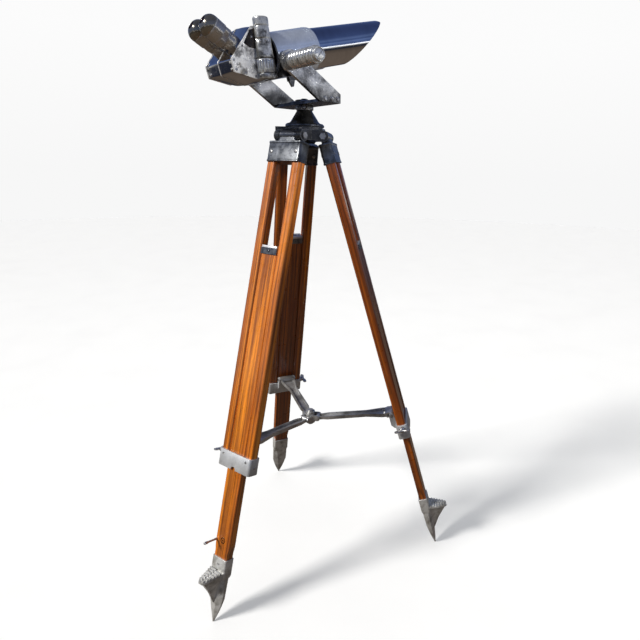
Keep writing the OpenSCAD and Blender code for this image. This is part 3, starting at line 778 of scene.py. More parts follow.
prof = [(0, 14.9), (6, 14.9), (6, 15.0), (20.6, 15.0), (21.6, 15.4), (21.9, 16.4), (21.9, 18.2), (21.4, 19.0), (20.9, 19.4)]
z = 20.0
while z < 78.1:
    prof.append((21.25 - (z - 15) * 4.35 / 69, z))
    z += 1.5
prof += [(17.2, 79.4), (16.9, 80.2), (16.1, 80.6), (16.1, 81.6), (17.2, 82.0), (17.6, 82.8)]
prof += [(17.6, 84), (17.6, 88), (17.6, 92), (17.6, 95.0), (17.4, 96.6), (16.9, 98.0), (15.9, 99.2), (14.8, 99.7), (0, 99.5)]
v, f = lathe(prof, 144, fn=tower_r)
p = Piece("filter_tower", "instrument", "aluminium")
p.add((v, f), TOW)
inv = INST.inverted()
# flat back against the side cover, as in the CAD
for i in range(len(p.v)):
    q = inv @ (p.v[i] / 0.001)
    if q.y > -72.02 and q.z < 84.5:
        q.y = -72.02
        p.v[i] = (INST @ q) * 0.001
p.build(M_TOWER, smooth=28, replaces=("tower",))
q = Piece("tower_fittings", "instrument", "steel")


def on_tower(a, z, r):
    return TOW @ R(a, "Z") @ T(r, 0, z) @ R(90, "Y")


slot_screw(q, on_tower(262, 51, 17.8), 2.8, 1.8, 20)
slot_screw(q, on_tower(222, 49, 17.8), 2.6, 1.8, 80)
slot_screw(q, on_tower(300, 48, 17.9), 2.4, 1.6, 110)
for a in (232, 262, 292):
    q.add(lathe([(0, -2), (1.5, -2), (1.5, 0.5), (1.1, 0.9), (0, 0.9)], 14), on_tower(a, 27, 20.4))
q.build(M_STEEL, smooth=35)
# brown shield between the cover's sloping edge and the tower
q = Piece("tower_shield", "instrument", "aluminium")
out_ = rnd([(-88, 52, 1), (-66, 76, 2), (-52, 79, 2), (-50, 44, 2), (-63, 38, 6), (-76, 42, 6)], 5)
m_out = []
for u, w in out_:
    m_out.append((u, w))
q.add(side_poly(m_out, -73.4, -71.6), INST)
slot_screw(q, INST @ T(-66, -73.4, 62) @ R(90, "X"), 2.0, 0.9, 30, mi=1)
q.build([M_RECESS, M_STEEL], smooth=35, bevel=0.4)


def coarse(n, depth, z0, z1):
    def fn(r, z, t):
        if z0 < z < z1 and r > 10:
            c = abs(cos(n * t / 2))
            r -= depth * (1 - c) ** 1.6
        return (r, z)
    return fn


prof = [(0, -15.5), (19.2, -15.5), (20.2, -15.0), (20.4, -14.2), (20.4, -12.9), (21.2, -12.0), (21.35, -11.0), (21.35, -4), (21.35, 3), (21.35, 9.6), (21.2, 10.6), (20.4, 11.5), (20.4, 13.3), (20.0, 13.9), (19.4, 14.1), (0, 14.1)]
p = Piece("filter_knob", "filter_selector", "aluminium")
p.add(lathe(prof, 288, fn=coarse(18, 2.6, -12.8, 11.3)), TOW)
p.build(M_GRIP, smooth=32, replaces=("filter_wheel",))

p = Piece("bearing_ring", "instrument", "aluminium")
loops = []
for rad, z in ((18.6, -28.0), (19.6, -27.6), (20.0, -26.8), (20.0, -17.6), (19.5, -16.6), (18.8, -16.4)):
    lp = []
    a0 = asin(4.4 / rad)
    for i in range(60):
        t = pi - a0 + (pi + 2 * a0) * i / 59
        lp.append((rad * cos(t), rad * sin(t), z))
    loops.append(lp)
p.add(loft(loops), TOW)
for i, a in enumerate((198, 220, 242, 264, 286, 308, 330)):
    M = TOW @ R(a, "Z") @ T(19.9, 0, -22.4) @ R(90, "Y")
    if i % 2 == 0:
        slot_screw(p, M, 2.6, 1.6, 50 * i, mi=1)
    else:
        p.add(lathe([(0, -2), (1.7, -2), (1.7, 0.8), (1.2, 1.4), (0, 1.5)], 16), M, 1)
p.build([M_TOWER, M_STEEL], smooth=35)

# ------------------------------------------------------------------ eyepieces
def knurl(n, depth, z0, z1):
    def fn(r, z, t):
        if z0 < z < z1 and r > 20:
            r -= depth * (0.5 - 0.5 * cos(n * t))
        return (r, z)
    return fn


for k, s in SIDE.items():
    M = EYE[k]
    p = Piece("eye_socket_" + k, "instrument", "aluminium")
    p.add(lathe(rnd([(13, -13), (21.9, -13, 0.5), (21.9, -1), (22.0, 13.2), (22.0, 14.0), (21.4, 14.5), (21.4, 15.3), (22.2, 15.8, 0.4), (22.2, 20.2, 0.6), (21.0, 21.0), (17, 21.0), (17, 44, 0.5), (13, 44)], 3), 96, closed=True), M)
    # graduation lines on the fixed ring
    for i in range(-6, 7):
        L = 3.0 if i % 3 == 0 else 1.8
        Mi = M @ R(180 + 9 * i, "Z") @ T(22.15, 0, 20.0)
        p.add(bx(-0.5, 0.12, -0.16, 0.16, -L, 0), Mi, 1)
    p.build([M_EYE, M_INK], smooth=30, replaces=("eye_base_" + k,))

    p = Piece("eye_barrel_" + k, "focus_" + k, "aluminium")
    prof = [(17.06, 21.5), (22.4, 21.5), (23.1, 21.9), (23.2, 22.6), (23.2, 23.4), (23.1, 24.2), (23.0, 27), (23.0, 30), (23.0, 33.4), (23.0, 34.6), (22.6, 35.3), (22.6, 35.9),
            (23.9, 36.0), (24.4, 36.5), (24.42, 37.2), (24.0, 37.6), (24.0, 38.3), (24.45, 38.7), (24.6, 44), (24.85, 52), (24.95, 56.5), (24.6, 57.0), (24.6, 57.7), (25.0, 58.2), (25.0, 59.5), (24.6, 60.0), (14, 60.0), (14, 46), (17.06, 46)]
    v, f = lathe(prof, 240, closed=True, fn=knurl(40, 1.0, 24.0, 34.8))
    p.add((v, f), M)
    for i_, fc in enumerate(p.f):
        zz = sum(v[a_][2] for a_ in fc) / len(fc)
        if 57.5 < zz < 60.2:
            p.m[i_] = 1
    p.build([M_EYE, M_EYERING], smooth=30, replaces=("eye_tube_" + k,))

    p = Piece("eye_guard_" + k, "focus_" + k, "eyecup")
    prof = rnd([(14, 60.02), (24.7, 60.02, 0.4), (25.0, 61.2, 0.6), (24.95, 63.4, 5), (24.1, 68.2, 8), (22.0, 72.6, 8), (18.8, 76.4, 8), (14.8, 79.4, 5), (11.8, 80.9, 1.5), (10.2, 81.0, 0.5), (9.9, 80.3, 0.5), (10.9, 77.4, 2), (13.4, 71.0, 4), (14, 64)], 6)
    p.add(lathe(prof, 96, closed=True), M)
    p.build(M_CUP, smooth=40, replaces=("eye_cup_" + k,))
    p = Piece("eye_lens_" + k, "focus_" + k, "lens")
    pr = [(0, 71.2)] + [(12.6 * i / 8, 71.2 - 1.9 * (i / 8) ** 2) for i in range(1, 9)] + [(13.2, 69.0), (13.2, 66.0), (0, 66.0)]
    p.add(lathe(pr, 48), M)
    p.build(M_LENS, smooth=40)

# clamp lever and index dot beside the near eyepiece, a socket flange under each
p = Piece("eye_fittings", "instrument", "steel")
for k in ("r", "l"):
    p.add(lathe(rnd([(21.6, -8.0), (24.6, -8.0), (24.6, -2.6, 0.8), (22.05, -1.6, 0.4)], 3), 96, closed=True), EYE[k])
M = EYE["r"] @ R(196, "Z") @ T(22.0, 0, 8.5) @ R(90, "Y")
p.add(lathe(rnd([(0, -1.5), (3.0, -1.5), (3.0, 2.6, 0.6), (0, 2.6)], 3, closed=False), 24), M, 1)
p.add(tube([(0, 0, 1.6), (-3, -2.5, 3.2), (-7, -5, 4.2), (-12, -7.5, 4.4)], 1.5, 12), M, 1)
M2 = EYE["r"] @ R(205, "Z") @ T(21.9, 0, 17.8) @ R(90, "Y")
p.add(lathe([(0, -1), (1.3, -1), (1.3, 0.5), (0.9, 0.8), (0, 0.8)], 16), M2, 0)
p.build([M_STEEL, M_BLACK], smooth=35)

# ------------------------------------------------------------------ grips, trunnions, fork
for k, s in SIDE.items():
    prof = [(9.06, 0.0), (14.9, 0.0), (15.5, 0.5), (15.5, 6.2), (15.1, 7.2), (14.6, 7.7), (14.6, 8.0)]
    for i in range(9):
        z0 = 8.2 + 11 * i
        for j in range(9):
            a = pi * j / 8
            prof.append((15.6 + 3.4 * (sin(a) ** 0.55), z0 + 4.7 - 4.7 * cos(a)))
        prof.append((15.3, z0 + 10.2))
    prof += [(15.2, 107.6), (14.2, 108.2), (14.2, 110.6), (14.35, 111.2), (14.3, 112.4), (12.6, 112.9), (0, 112.9)]
    hole = [(0, 24), (6.06, 24), (6.06, 6), (9.06, 6), (9.06, 0.0)]
    p = Piece("hand_grip_" + k, "grip_" + k, "aluminium")
    p.add(lathe(hole[:-1] + prof, 72), GRIP[k])
    Mg = GRIP[k] @ T(0, 0, 112.6) @ R(35, "Z")
    for sg in (-1, 1):
        loops = []
        for rad, z in ((11.6, 0), (11.6, 1.7), (11.0, 2.2), (10.4, 2.38)):
            w = 1.35
            a0 = asin(w / rad)
            loops.append([(rad * cos(a0 + (pi - 2 * a0) * j / 20), sg * rad * sin(a0 + (pi - 2 * a0) * j / 20), z) for j in range(21)])
        p.add(loft(loops), Mg)
    p.add(lathe(rnd([(12.3, -0.4), (14.2, -0.4), (14.2, 2.0, 0.7), (12.3, 2.0, 0.5)], 3), 72, closed=True), Mg)
    p.build(M_GRIP, smooth=38, replaces=("grip_%s_knob" % k,))
    cad("trunnion_" + k, M_STEEL)

    # fork arm: flat plate with a turned boss at the elevation axis
    poly = [(-26, FORK, 1.0), (36, FORK, 1.5), (36, FORK + 22, 3), (ELX + 17, ELZ + 20), (ELX - 20, ELZ - 14)]
    y0, y1 = (-114, -104) if s < 0 else (104, 114)
    p = Piece("fork_plate_" + k, "fork", "aluminium")
    p.add(side_poly(rnd(poly, 4), y0, y1))
    Mb = T(ELX, s * 109, ELZ) @ R(90, "X")
    p.add(lathe([(9.06, -4.9), (24.9, -4.9), (24.9, 4.9), (9.06, 4.9)], 96, closed=True), Mb)
    p.build(M_FORK, smooth=35, bevel=1.2, seg=3, replaces=("fork_arm_" + k,))
    q = Piece("fork_bolts_" + k, "fork", "steel")
    for x, z in ((-12, 8), (8, 9), (26, 10)):
        hex_head(q, T(x, s * 114, FORK + z) @ R(-90 * s, "X"), 4.6, 3.4, 17 * x)
    q.add(lathe(rnd([(9.3, -0.6), (20.5, -0.6), (20.5, 0.35, 0.3), (9.3, 0.35)], 2), 64, closed=True), T(ELX, s * 113.9, ELZ) @ R(-90 * s, "X"))
    q.build(M_STEEL, smooth=35)

# fork base: thin plate, low hump in the middle, seat ring
p = Piece("fork_bridge", "fork", "aluminium")
loops = []
for i in range(41):
    y = -104 + 208 * i / 40
    hump = 2.4 * max(0.0, 1 - (abs(y) / 46) ** 2.4)
    loops.append([(-26, y, FORK), (36, y, FORK), (36, y, FORK + 7 + hump * 0.8), (33, y, FORK + 8 + hump), (-23, y, FORK + 8 + hump), (-26, y, FORK + 7 + hump * 0.8)])
p.add(loft(loops))
p.add(lathe(rnd([(0, FORK + 7), (24, FORK + 7), (24, FORK + 12.6, 1.2), (22.6, FORK + 13, 0.3), (0, FORK + 13)], 3, closed=False), 72))
hex_head(p, T(0, 0, FORK + 12.9), 9, 4.0, 12)
p.add(lathe([(0, FORK - 72), (14, FORK - 72), (14, FORK + 1), (0, FORK + 1)], 64))
for s in (-1, 1):
    hex_head(p, T(5, s * 74, FORK + 7.9), 6.0, 4.2, 25)
    hex_head(p, T(-14, s * 96, FORK + 7.9), 4.6, 3.2, 5)
    hex_head(p, T(24, s * 96, FORK + 7.9), 4.6, 3.2, 40)
# small lanyard ring on the underside
rp = [(-17 + 7.5 * cos(radians(a)), -24 + 0.9 * sin(radians(a)), FORK - 5.0 + 5.5 * sin(radians(a))) for a in range(0, 360, 20)]
p.add(tube(rp, 1.1, 10, closed=True))
p.build(M_BASE, smooth=35, bevel=0.8, seg=2, angle=45, replaces=("fork_base",))

cad("cradle", M_BLACK, bevel=1.5, seg=2)

# ------------------------------------------------------------------ tripod head
prof = rnd([(14.1, TOP), (51.2, TOP), (52.0, TOP + 0.8), (52.0, TOP + 5.0, 1.5), (48.4, TOP + 8.3, 2), (42.4, TOP + 9.0, 1), (40.4, TOP + 10.8, 2), (37.2, TOP + 14, 3), (33.2, TOP + 20.5, 10), (29, TOP + 27, 10),
            (24.2, TOP + 34.5, 8), (21.2, TOP + 39.2, 2), (20.5, TOP + 41.5, 0.4), (14.1, TOP + 41.5)], 4)
p = Piece("turntable_cone", "head", "aluminium")
p.add(lathe(prof, 128, closed=True))
# azimuth circle: fine graduation round the rim
for i in range(72):
    L = 3.6 if i % 6 == 0 else 2.2
    p.add(bx(51.4, 52.12, -0.17, 0.17, TOP + 1.0, TOP + 1.0 + L), R(5 * i, "Z"), 1)
p.build([M_HEADTOP, M_INK], smooth=30, replaces=("head_cone",))


def ringk(r, z, t):
    if r > 22.0 and TOP + 43.4 < z < TOP + 52.2:
        c = 0.5 + 0.5 * cos(24 * t)
        r -= 1.15 * (1 - c) ** 2
    return (r, z)


prof = [(14.06, TOP + 42.02), (21.8, TOP + 42.02), (22.5, TOP + 42.5), (22.5, TOP + 43.2), (23.6, TOP + 43.6), (24.0, TOP + 44.2), (24.0, TOP + 47.5), (24.0, TOP + 51.3), (23.6, TOP + 52.0), (22.5, TOP + 52.3), (22.5, TOP + 52.9), (21.8, TOP + 53.38), (14.06, TOP + 53.38)]
p = Piece("knurled_ring", "clamp_ring", "aluminium")
p.add(lathe(prof, 240, closed=True, fn=ringk))
p.build(M_TOWER, smooth=32, replaces=("ring_clamp",))

cad("head_casting", M_BLACK, bevel=1.2, seg=2)
cad("head_lever", M_STEEL)
cad("level_box", M_BLACK, bevel=1.0)
ML = R(135.74, "Z") @ T(61.5, 0, HZ + 6)
p = Piece("bubble_level", "head", "lens")
p.add(lathe(rnd([(0, 13.4), (9.2, 13.4), (9.2, 16.6), (8.4, 17.6, 1), (0, 18.2)], 4, closed=False), 48), ML)
p.build(M_VIAL, smooth=40)
p = Piece("level_bezel", "head", "aluminium")
p.add(lathe(rnd([(8.7, 16.4), (9.9, 16.4), (9.9, 18.9, 0.3), (12.2, 18.9, 0.5), (12.2, 18.3), (9.95, 18.3), (9.95, 14), (8.7, 14)], 2), 48, closed=True), ML)
p.build(M_BRASS, smooth=35)

# ------------------------------------------------------------------ legs
for k in "abc":
    L = LEG[k]
    MW = M_WOOD[k]
    cad("rails_" + k, MW)
    cad("board_" + k, MW, bevel=0.0)
    p = Piece("board_guide_" + k, "extension_" + k, "aluminium")
    for x0, x1 in ((-13.5, -11.03), (11.03, 13.5)):
        p.add(bx(x0, x1, -28.2, 28.2, -317, -299.8), L)
    p.add(loft([rr(27, 56.6, 3, -300.2, 5), rr(27, 56.6, 3, -294.6, 5), rr(26.2, 55.8, 2.6, -294, 5)]), L, 1)
    p.add(bx(-3, 3, -12, 12, -294.4, -293.3), L, 0)
    for s in (-1, 1):
        slot_screw(p, L @ T(s * 13.5, 0, -308.5) @ R(90 * s, "Y"), 3.4, 1.2, 30 * s)
        slot_screw(p, L @ T(0, s * 20, -294) , 2.4, 0.7, 50 * s)
    p.build([M_CAP, M_CAST], smooth=35, bevel=0.5, replaces=("guide_" + k,))
    cad("pin_" + k, M_STEEL, bevel=0.6)
    cad("arm_" + k, M_ARM, bevel=0.9)

    # leg cap: lofted casting with a rounded neck and two raised rims
    p = Piece("leg_cap_" + k, "leg_" + k, "aluminium")
    secs = [(35.6, 118.6, 9.5, -72), (36.5, 119.5, 10, -71.4), (36.5, 119.5, 10, -69.0), (35.2, 118.2, 9.5, -67.6), (34.4, 117.4, 9.2, -66.4),
            (34.4, 117.4, 9.2, -26.2), (34.8, 117.8, 9.4, -25.2), (36.1, 119.1, 9.8, -24.2), (36.5, 119.5, 10, -23.2), (36.5, 119.5, 10, -20.4), (35.9, 118.9, 9.6, -19.4), (33.5, 116.5, 8.5, -18.6)]
    p.add(loft([rr(x, y, r, z, 10) for x, y, r, z in secs]), L)
    secs = [(24, 86, 6, -19.6), (24, 80, 6, -18.7), (24, 58.6, 5, -15.4), (23.6, 56.6, 5, -8.0), (22, 55, 4, -1.5), (20, 52, 4, 2.5)]
    p.add(loft([rr(x, y, r, z, 6) for x, y, r, z in secs]), L)
    p.add(lathe(rnd([(6.06, -28), (13.2, -28), (14, -27.2), (14, 27.2), (13.2, 28), (6.06, 28)], 2), 64, closed=True), L @ R(90, "X"))
    p.build(M_CAP, smooth=34, replaces=("cap_" + k,))
    q = Piece("cap_screws_" + k, "leg_" + k, "steel")
    for s in (-1, 1):
        slot_screw(q, L @ T(17.0, s * 43.25, -47) @ R(90, "Y"), 4.4, 1.6, 40 + 50 * s)
        slot_screw(q, L @ T(-17.0, s * 43.25, -47) @ R(-90, "Y"), 4.4, 1.6, 15 + 30 * s)
        slot_screw(q, L @ T(18.0, s * 43.25, CLAMP + 12) @ R(90, "Y"), 3.4, 0.9, 25 - 60 * s)
        slot_screw(q, L @ T(-18.0, s * 46, CLAMP - 10) @ R(-90, "Y"), 3.4, 0.9, 75 - 20 * s)
    slot_screw(q, L @ T(0, 60.5, CLAMP - 2) @ R(-90, "X"), 3.4, 1.1, 30)
    q.build(M_STEEL, smooth=35)

    # wing screw with rounded wings, on the clamp's end
    p = Piece("wing_screw_" + k, "leg_clamp_" + k, "steel")
    Mw = L @ T(0, 0, CLAMP + 12)
    p.add(lathe(rnd([(0, 29.2), (5, 29.2), (5, 61.2), (9, 61.2, 0.8), (9, 69.0, 0.8), (6.6, 70.0, 1), (5.4, 74, 2), (0, 74.6)], 3, closed=False), 40), Mw @ R(90, "X"))
    wl = []
    for i in range(31):
        x = -23.4 + 46.8 * i / 30
        t = abs(x) / 23.4
        yi, yo = 68.3 + 0.4 * t, 80.9 - 4.2 * (1 - min(1.0, t / 0.75)) ** 1.4
        if t > 0.72:
            f_ = (t - 0.72) / 0.28
            half = 6.3 * sqrt(max(0.01, 1 - f_ * f_))
            yi, yo = max(yi, 74.5 - half), min(yo, 74.5 + half)
        zc = 2.45 - 0.9 * t
        wl.append([(x, -yi, -zc * 0.6), (x, -yi - 0.8, -zc), (x, -yo + 0.8, -zc), (x, -yo, -zc * 0.6), (x, -yo, zc * 0.6), (x, -yo + 0.8, zc), (x, -yi - 0.8, zc), (x, -yi, zc * 0.6)])
    p.add(loft(wl), Mw)
    p.build(M_STEEL, smooth=45, replaces=("screw_" + k,))

    # clamp bracket: folded band with rounded corners, a half round notch below, ears for the spreader arm
    def plan(x, y, r, d=0.0):
        x, y, r = x - 2 * d, y - 2 * d, max(r - d, 0.5)
        out = []
        for sx, sy, a0 in ((1, 1, 0), (-1, 1, 90), (-1, -1, 180), (1, -1, 270)):
            for j in range(9):
                a = radians(a0 + 90 * j / 8)
                out.append((sx * (x / 2 - r) + r * cos(a), sy * (y / 2 - r) + r * sin(a)))
        # the front side runs from the last corner to the first one
        for j in range(29):
            out.append((x / 2, -14 + j))
        return out

    def ring_(x, y, r, d, z, arch):
        lp = []
        for px_, py_ in plan(x, y, r, d):
            zz = z
            if arch and px_ > 10 and abs(py_) < 9:
                zz = z + sqrt(81 - py_ * py_)
            lp.append((px_, py_, zz))
        return lp
    z0, z1 = CLAMP - 23, CLAMP + 23
    p = Piece("clamp_bracket_" + k, "leg_" + k, "aluminium")
    p.add(loft([ring_(36, 121, 8, 0.9, z0, True), ring_(36, 121, 8, 0.25, z0 + 0.25, True), ring_(36, 121, 8, 0, z0 + 0.9, True), ring_(36, 121, 8, 0, z1 - 0.9, False),
                ring_(36, 121, 8, 0.25, z1 - 0.25, False), ring_(36, 121, 8, 0.9, z1, False), ring_(26.04, 115.04, 6, 0, z1, False), ring_(26.04, 115.04, 6, 0, z0, True)], closed=True), L)
    for s in (-1, 1):
        p.add(prism(rnd([(-13.2, s * 29.0, 1), (13.2, s * 29.0, 1), (13.2, s * 57.9, 5), (-13.2, s * 57.9, 5)], 5), z0 + 0.3, z0 + 6.9), L)
        ya, yb = (24, 29) if s > 0 else (-29, -24)
        p.add(side_poly(rnd([(-17.2, -882, 1), (-25, -882, 4), (-34, -871, 5), (-34, -831, 6.9), (-20, -831, 6.9), (-17.2, -856, 3)], 6), ya, yb), L)
        p.add(lathe(rnd([(0, 0), (5.5, 0, 0.3), (5.5, 2.4, 0.9), (0, 3.0)], 3, closed=False), 24), L @ T(OPX, s * 29, OPZ) @ R(-90 * s, "X"), 1)
    p.add(lathe([(0, -29.5), (3.5, -29.5), (3.5, 29.5), (0, 29.5)], 24), L @ T(OPX, 0, OPZ) @ R(90, "X"), 1)
    p.build([M_BRACKET, M_STEEL], smooth=38, replaces=("bracket_" + k,))

    # shoe: socket, flat point with bevelled sides, toothed tread on a tapering web
    F = FOOT
    p = Piece("foot_shoe_" + k, "extension_" + k, "aluminium")
    so = [(30, 54, 5, F + 150, 0), (30, 54, 5, F + 187.5, 0), (29.6, 53.6, 4.8, F + 189.4, 0), (28.4, 52.4, 4.2, F + 190, 0), (22.1, 47.1, 1.5, F + 190, 0), (22.1, 47.1, 1.5, F + 159.9, 0)]
    p.add(loft([rr(a, b, c, d, 7) for a, b, c, d, _ in so], closed=True), L)
    p.add(loft([rr(a, b, c, d, 7) for a, b, c, d in ((25.6, 51, 4.5, F + 136), (27.5, 52.6, 5, F + 139), (30, 54, 5, F + 143), (30, 54, 5, F + 152), (29.9, 53.9, 5, F + 160))]), L)

    def oct_(hx, hy, cx_, cy_, z):
        return [(hx, -hy + cy_, z), (hx, hy - cy_, z), (hx - cx_, hy, z), (-hx + cx_, hy, z), (-hx, hy - cy_, z), (-hx, -hy + cy_, z), (-hx + cx_, -hy, z), (hx - cx_, -hy, z)]
    p.add(loft([oct_(13, 26, 7, 9, F + 146), oct_(13, 26, 8.5, 13, F + 110), oct_(12.8, 25.6, 9, 16, F + 76), oct_(10.4, 20.4, 7.6, 13, F + 54), oct_(7.4, 13.4, 5.6, 9, F + 31), oct_(3.6, 5.6, 2.6, 3.6, F + 11), oct_(1.9, 2.3, 1.2, 1.3, F + 2.4)]), L)
    p.add(lathe([(0, -2.6)] + [(2.6 * sin(radians(a)), -2.6 * cos(radians(a))) for a in range(10, 121, 10)] + [(0, 1.3)], 24), L @ T(0, 0, F + 2.6 / cos(radians(SPLAY))) @ R(SPLAY, "Y"))

    def tz(x):
        return F + 157.6 - (x - 8) * 0.2258

    def hw(x):
        w_ = 26.0 if x < 14 else 26.0 - 15.2 * (x - 14) / 56.0
        if x > 60:
            w_ -= 6.5 * (1 - sqrt(max(0.0, 1 - ((x - 60) / 9.8) ** 2)))
        return w_
    xs = [8, 14] + [14 + 4 * j for j in range(1, 12)] + [60, 62, 64, 66, 67.5, 68.7, 69.5]
    top = [(x, hw(x)) for x in xs] + [(x, -hw(x)) for x in reversed(xs)]
    n_ = len(top)
    vv = [(x, y, tz(x) - 0.2) for x, y in top] + [(x, y, tz(x) - 0.2 - 6.0) for x, y in top]
    ff = [tuple(range(n_)), tuple(reversed(range(n_, 2 * n_)))] + [(j, n_ + j, n_ + (j + 1) % n_, (j + 1) % n_) for j in range(n_)]
    p.add((vv, ff), L)
    # web under the tread
    a_ = [(9, -23.5, tz(9) - 4), (40, -17.5, tz(40) - 4), (66, -8.5, tz(66) - 4), (66, 8.5, tz(66) - 4), (40, 17.5, tz(40) - 4), (9, 23.5, tz(9) - 4)]
    b_ = [(9, -10, F + 96), (24, -8, F + 96), (34, -4, F + 99), (34, 4, F + 99), (24, 8, F + 96), (9, 10, F + 96)]
    c_ = [(8, -4, F + 62), (12, -3, F + 62), (14, -1, F + 63), (14, 1, F + 63), (12, 3, F + 62), (8, 4, F + 62)]
    p.add(loft([c_, b_, a_]), L)
    # teeth: two rows, set half a pitch apart
    for row in (0, 1):
        for j in range(6):
            xa = 16.5 + row * 4.2 + j * 8.4
            if xa > 64:
                continue
            w_ = min(hw(xa), hw(xa + 4.6)) - 0.5
            y0_, y1_ = (-w_, -0.9) if row == 0 else (0.9, w_)
            if y1_ - y0_ < 3:
                continue
            za, zb = tz(xa) - 0.6, tz(xa + 5.4) - 0.6
            sec = [(xa, za), (xa + 5.6, zb), (xa + 5.2, tz(xa + 5.2) + 3.4), (xa + 3.2, tz(xa + 3.2) + 4.4), (xa + 0.4, tz(xa + 0.4) + 1.4)]
            p.add(side_poly(sec, y0_, y1_), L)
    slot_screw(p, L @ T(15.0, 0, F + 174) @ R(90, "Y"), 3.2, 0.9, 50, mi=1)
    slot_screw(p, L @ T(-15.0, 0, F + 174) @ R(-90, "Y"), 3.2, 0.9, 20, mi=1)
    p.build([M_SHOE, M_STEEL], smooth=24, bevel=0.5, seg=2, angle=30, replaces=("shoe_" + k,))

# peg and plugged screw hole on the near leg's board
p = Piece("board_peg", "extension_b", "steel")
p.add(lathe(rnd([(0, -4), (3.0, -4), (3.0, 3), (2.7, 6), (2.7, 30, 1), (3.7, 33, 2), (3.9, 40, 2), (2.6, 44.0, 2), (0, 45.0)], 4, closed=False), 28), LEG["b"] @ T(11, -24, -1113) @ R(90, "Y"))
p.build(M_STEEL, smooth=40)
p = Piece("board_plug", "extension_b", "varnished_wood")
p.add(lathe(rnd([(0, -1), (8.4, -1), (8.4, 0.2, 0.2), (6.6, 0.40), (5.4, -0.2), (0, 0.15)], 3, closed=False), 32), LEG["b"] @ T(11, -1, -1110) @ R(90, "Y"))
p.build(M_RECESS, smooth=40)

cad("spreader_hub", M_ARM, bevel=1.0)

# ------------------------------------------------------------------ floor, lights, world, camera
def floor():
    me = bpy.data.meshes.new("studio_floor")
    n = 96
    rad = [0, 0.6, 1.2, 2.0, 3.0, 4.5, 7.0, 12.0]
    v = [(0, 0, 0)]
    f = []
    for r in rad[1:]:
        for j in range(n):
            a = 2 * pi * j / n
            v.append((r * cos(a), r * sin(a), 0))
    for j in range(n):
        f.append((0, 1 + j, 1 + (j + 1) % n))
    for i in range(len(rad) - 2):
        for j in range(n):
            j2 = (j + 1) % n
            f.append((1 + i * n + j, 1 + (i + 1) * n + j, 1 + (i + 1) * n + j2, 1 + i * n + j2))
    me.from_pydata(v, [], f)
    ob = bpy.data.objects.new("studio_floor", me)
    m = Mat("pale_floor")
    col = m.ramp(m.noise(3, 4, 0.5), [(0.3, (0.74, 0.74, 0.74)), (0.7, (0.77, 0.77, 0.77))])
    m.set(color=col, rough=m.remap(m.noise(12, 3, 0.5), 0.3, 0.7, 0.7, 0.85), spec=0.1, normal=m.bump(m.noise(120, 3, 0.5), 0.02, 0.001))
    m.b.inputs["Emission Color"].default_value = (1.0, 1.0, 1.0, 1.0)
    m.b.inputs["Emission Strength"].default_value = 0.24
    me.materials.append(m.mat)
    scene.collection.objects.link(ob)
    ob.visible_glossy = False
    ob.visible_diffuse = False
    return ob


floor()

w = bpy.data.worlds.new("studio_world")
scene.world = w
w.use_nodes = True
nt = w.node_tree
bg = nt.nodes["Background"]
tc = nt.nodes.new("ShaderNodeTexCoord")
sep = nt.nodes.new("ShaderNodeSeparateXYZ")
nt.links.new(tc.outputs["Generated"], sep.inputs[0])
ramp = nt.nodes.new("ShaderNodeValToRGB")
mr = nt.nodes.new("ShaderNodeMapRange")
mr.inputs["From Min"].default_value = -1
mr.inputs["From Max"].default_value = 1
nt.links.new(sep.outputs["Z"], mr.inputs["Value"])
nt.links.new(mr.outputs["Result"], ramp.inputs["Fac"])
el = ramp.color_ramp.elements
stops = [(0.0, (0.15, 0.115, 0.088)), (0.30, (0.135, 0.102, 0.078)), (0.40, (0.085, 0.066, 0.052)), (0.425, (0.022, 0.024, 0.034)), (0.487, (0.030, 0.034, 0.052)),
         (0.497, (0.66, 0.63, 0.55)), (0.510, (0.74, 0.72, 0.68)), (0.522, (0.15, 0.20, 0.34)), (0.60, (0.070, 0.115, 0.270)), (0.655, (0.130, 0.190, 0.380)), (0.70, (0.055, 0.090, 0.215)),
         (0.76, (0.100, 0.150, 0.310)), (0.83, (0.045, 0.072, 0.180)), (1.0, (0.028, 0.042, 0.110))]
while len(el) < len(stops):
    el.new(0.5)
for e_, (pos, c) in zip(el, stops):
    e_.position = pos
    e_.color = (*c, 1)
lp = nt.nodes.new("ShaderNodeLightPath")
# what the polished metal reflects is the gradient; everything else gets an even pale light
amb = nt.nodes.new("ShaderNodeValToRGB")
nt.links.new(mr.outputs["Result"], amb.inputs["Fac"])
for e_, (pos, c) in zip(amb.color_ramp.elements, ((0.2, (0.075, 0.068, 0.060)), (0.8, (0.22, 0.235, 0.26)))):
    e_.position = pos
    e_.color = (*c, 1)
back = nt.nodes.new("ShaderNodeValToRGB")
nt.links.new(mr.outputs["Result"], back.inputs["Fac"])
for e_, (pos, c) in zip(back.color_ramp.elements, ((0.495, (0.93, 0.93, 0.93)), (0.60, (0.97, 0.97, 0.97)))):
    e_.position = pos
    e_.color = (*c, 1)
m1 = nt.nodes.new("ShaderNodeMix")
m1.data_type = "RGBA"
nt.links.new(lp.outputs["Is Glossy Ray"], m1.inputs[0])
nt.links.new(amb.outputs["Color"], m1.inputs[6])
nt.links.new(ramp.outputs["Color"], m1.inputs[7])
mx = nt.nodes.new("ShaderNodeMix")
mx.data_type = "RGBA"
nt.links.new(lp.outputs["Is Camera Ray"], mx.inputs[0])
nt.links.new(m1.outputs[2], mx.inputs[6])
nt.links.new(back.outputs["Color"], mx.inputs[7])
nt.links.new(mx.outputs[2], bg.inputs["Color"])
bg.inputs["Strength"].default_value = 1.0


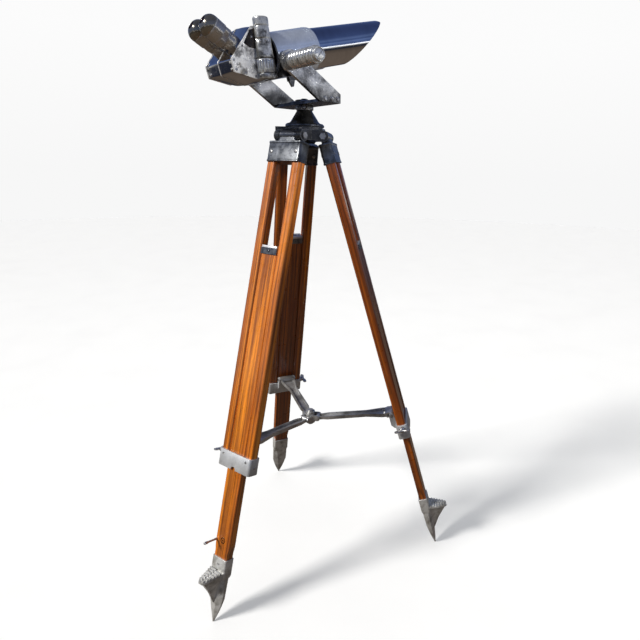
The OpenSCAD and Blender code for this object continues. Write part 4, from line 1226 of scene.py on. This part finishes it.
def area(name, loc, target, size, power, color=(1, 1, 1), size_y=None):
    ld = bpy.data.lights.new(name, "AREA")
    ld.shape = "RECTANGLE"
    ld.size = size
    ld.size_y = size_y or size
    ld.energy = power
    ld.color = color
    ob = bpy.data.objects.new(name, ld)
    scene.collection.objects.link(ob)
    ob.location = loc
    d = Vector(target) - Vector(loc)
    ob.rotation_euler = d.to_track_quat("-Z", "Y").to_euler()
    ob.visible_camera = False
    return ob


sd = bpy.data.lights.new("key", "SUN")
sd.energy = 3.7
sd.angle = radians(14)
sd.color = (1.0, 0.975, 0.93)
so_ = bpy.data.objects.new("key", sd)
scene.collection.objects.link(so_)
so_.rotation_euler = Vector((0.93, -0.22, -0.75)).to_track_quat("-Z", "Y").to_euler()
area("side_strip", (1.35, -2.5, 1.70), (-0.05, -0.1, 1.42), 3.2, 2.6, (1.0, 0.98, 0.93), 0.16)
top_ = area("soft_top", (0.4, 0.6, 4.2), (0, 0, 0.8), 2.6, 22, (0.96, 0.98, 1.0))
top_.visible_glossy = False
# soft spot on the instrument's near side
pd = bpy.data.lights.new("side_spot", "SPOT")
pd.energy = 170
pd.spot_size = radians(26)
pd.spot_blend = 0.8
pd.shadow_soft_size = 0.25
pd.color = (1.0, 0.985, 0.96)
po = bpy.data.objects.new("side_spot", pd)
scene.collection.objects.link(po)
po.location = (0.75, -2.0, 1.75)
po.rotation_euler = (Vector((-0.10, -0.08, 1.50)) - Vector(po.location)).to_track_quat("-Z", "Y").to_euler()
po.visible_glossy = False
po.visible_camera = False

cam_d = bpy.data.cameras.new("camera")
cam = bpy.data.objects.new("camera", cam_d)
scene.collection.objects.link(cam)
scene.camera = cam
a_ = radians(-41.57)
pp = radians(16.73)
ro = radians(1.38)
right = Vector((cos(a_), sin(a_), 0))
f0 = Vector((-sin(a_), cos(a_), 0))
fwd = f0 * cos(pp) - Vector((0, 0, 1)) * sin(pp)
up = f0 * sin(pp) + Vector((0, 0, 1)) * cos(pp)
rt = right * cos(ro) + up * sin(ro)
ur = -right * sin(ro) + up * cos(ro)
mw = Matrix.Identity(4)
for i in range(3):
    mw[i][0], mw[i][1], mw[i][2] = rt[i], ur[i], -fwd[i]
mw.translation = Vector((-0.8017, -1.2346, 1.2181))
cam.matrix_world = mw
cam_d.sensor_width = 36
cam_d.sensor_fit = "HORIZONTAL"
cam_d.lens = 28.31
cam_d.shift_x = -0.0956
cam_d.shift_y = 0.0006
cam_d.clip_start = 0.01
cam_d.clip_end = 60
cam_d.dof.use_dof = False
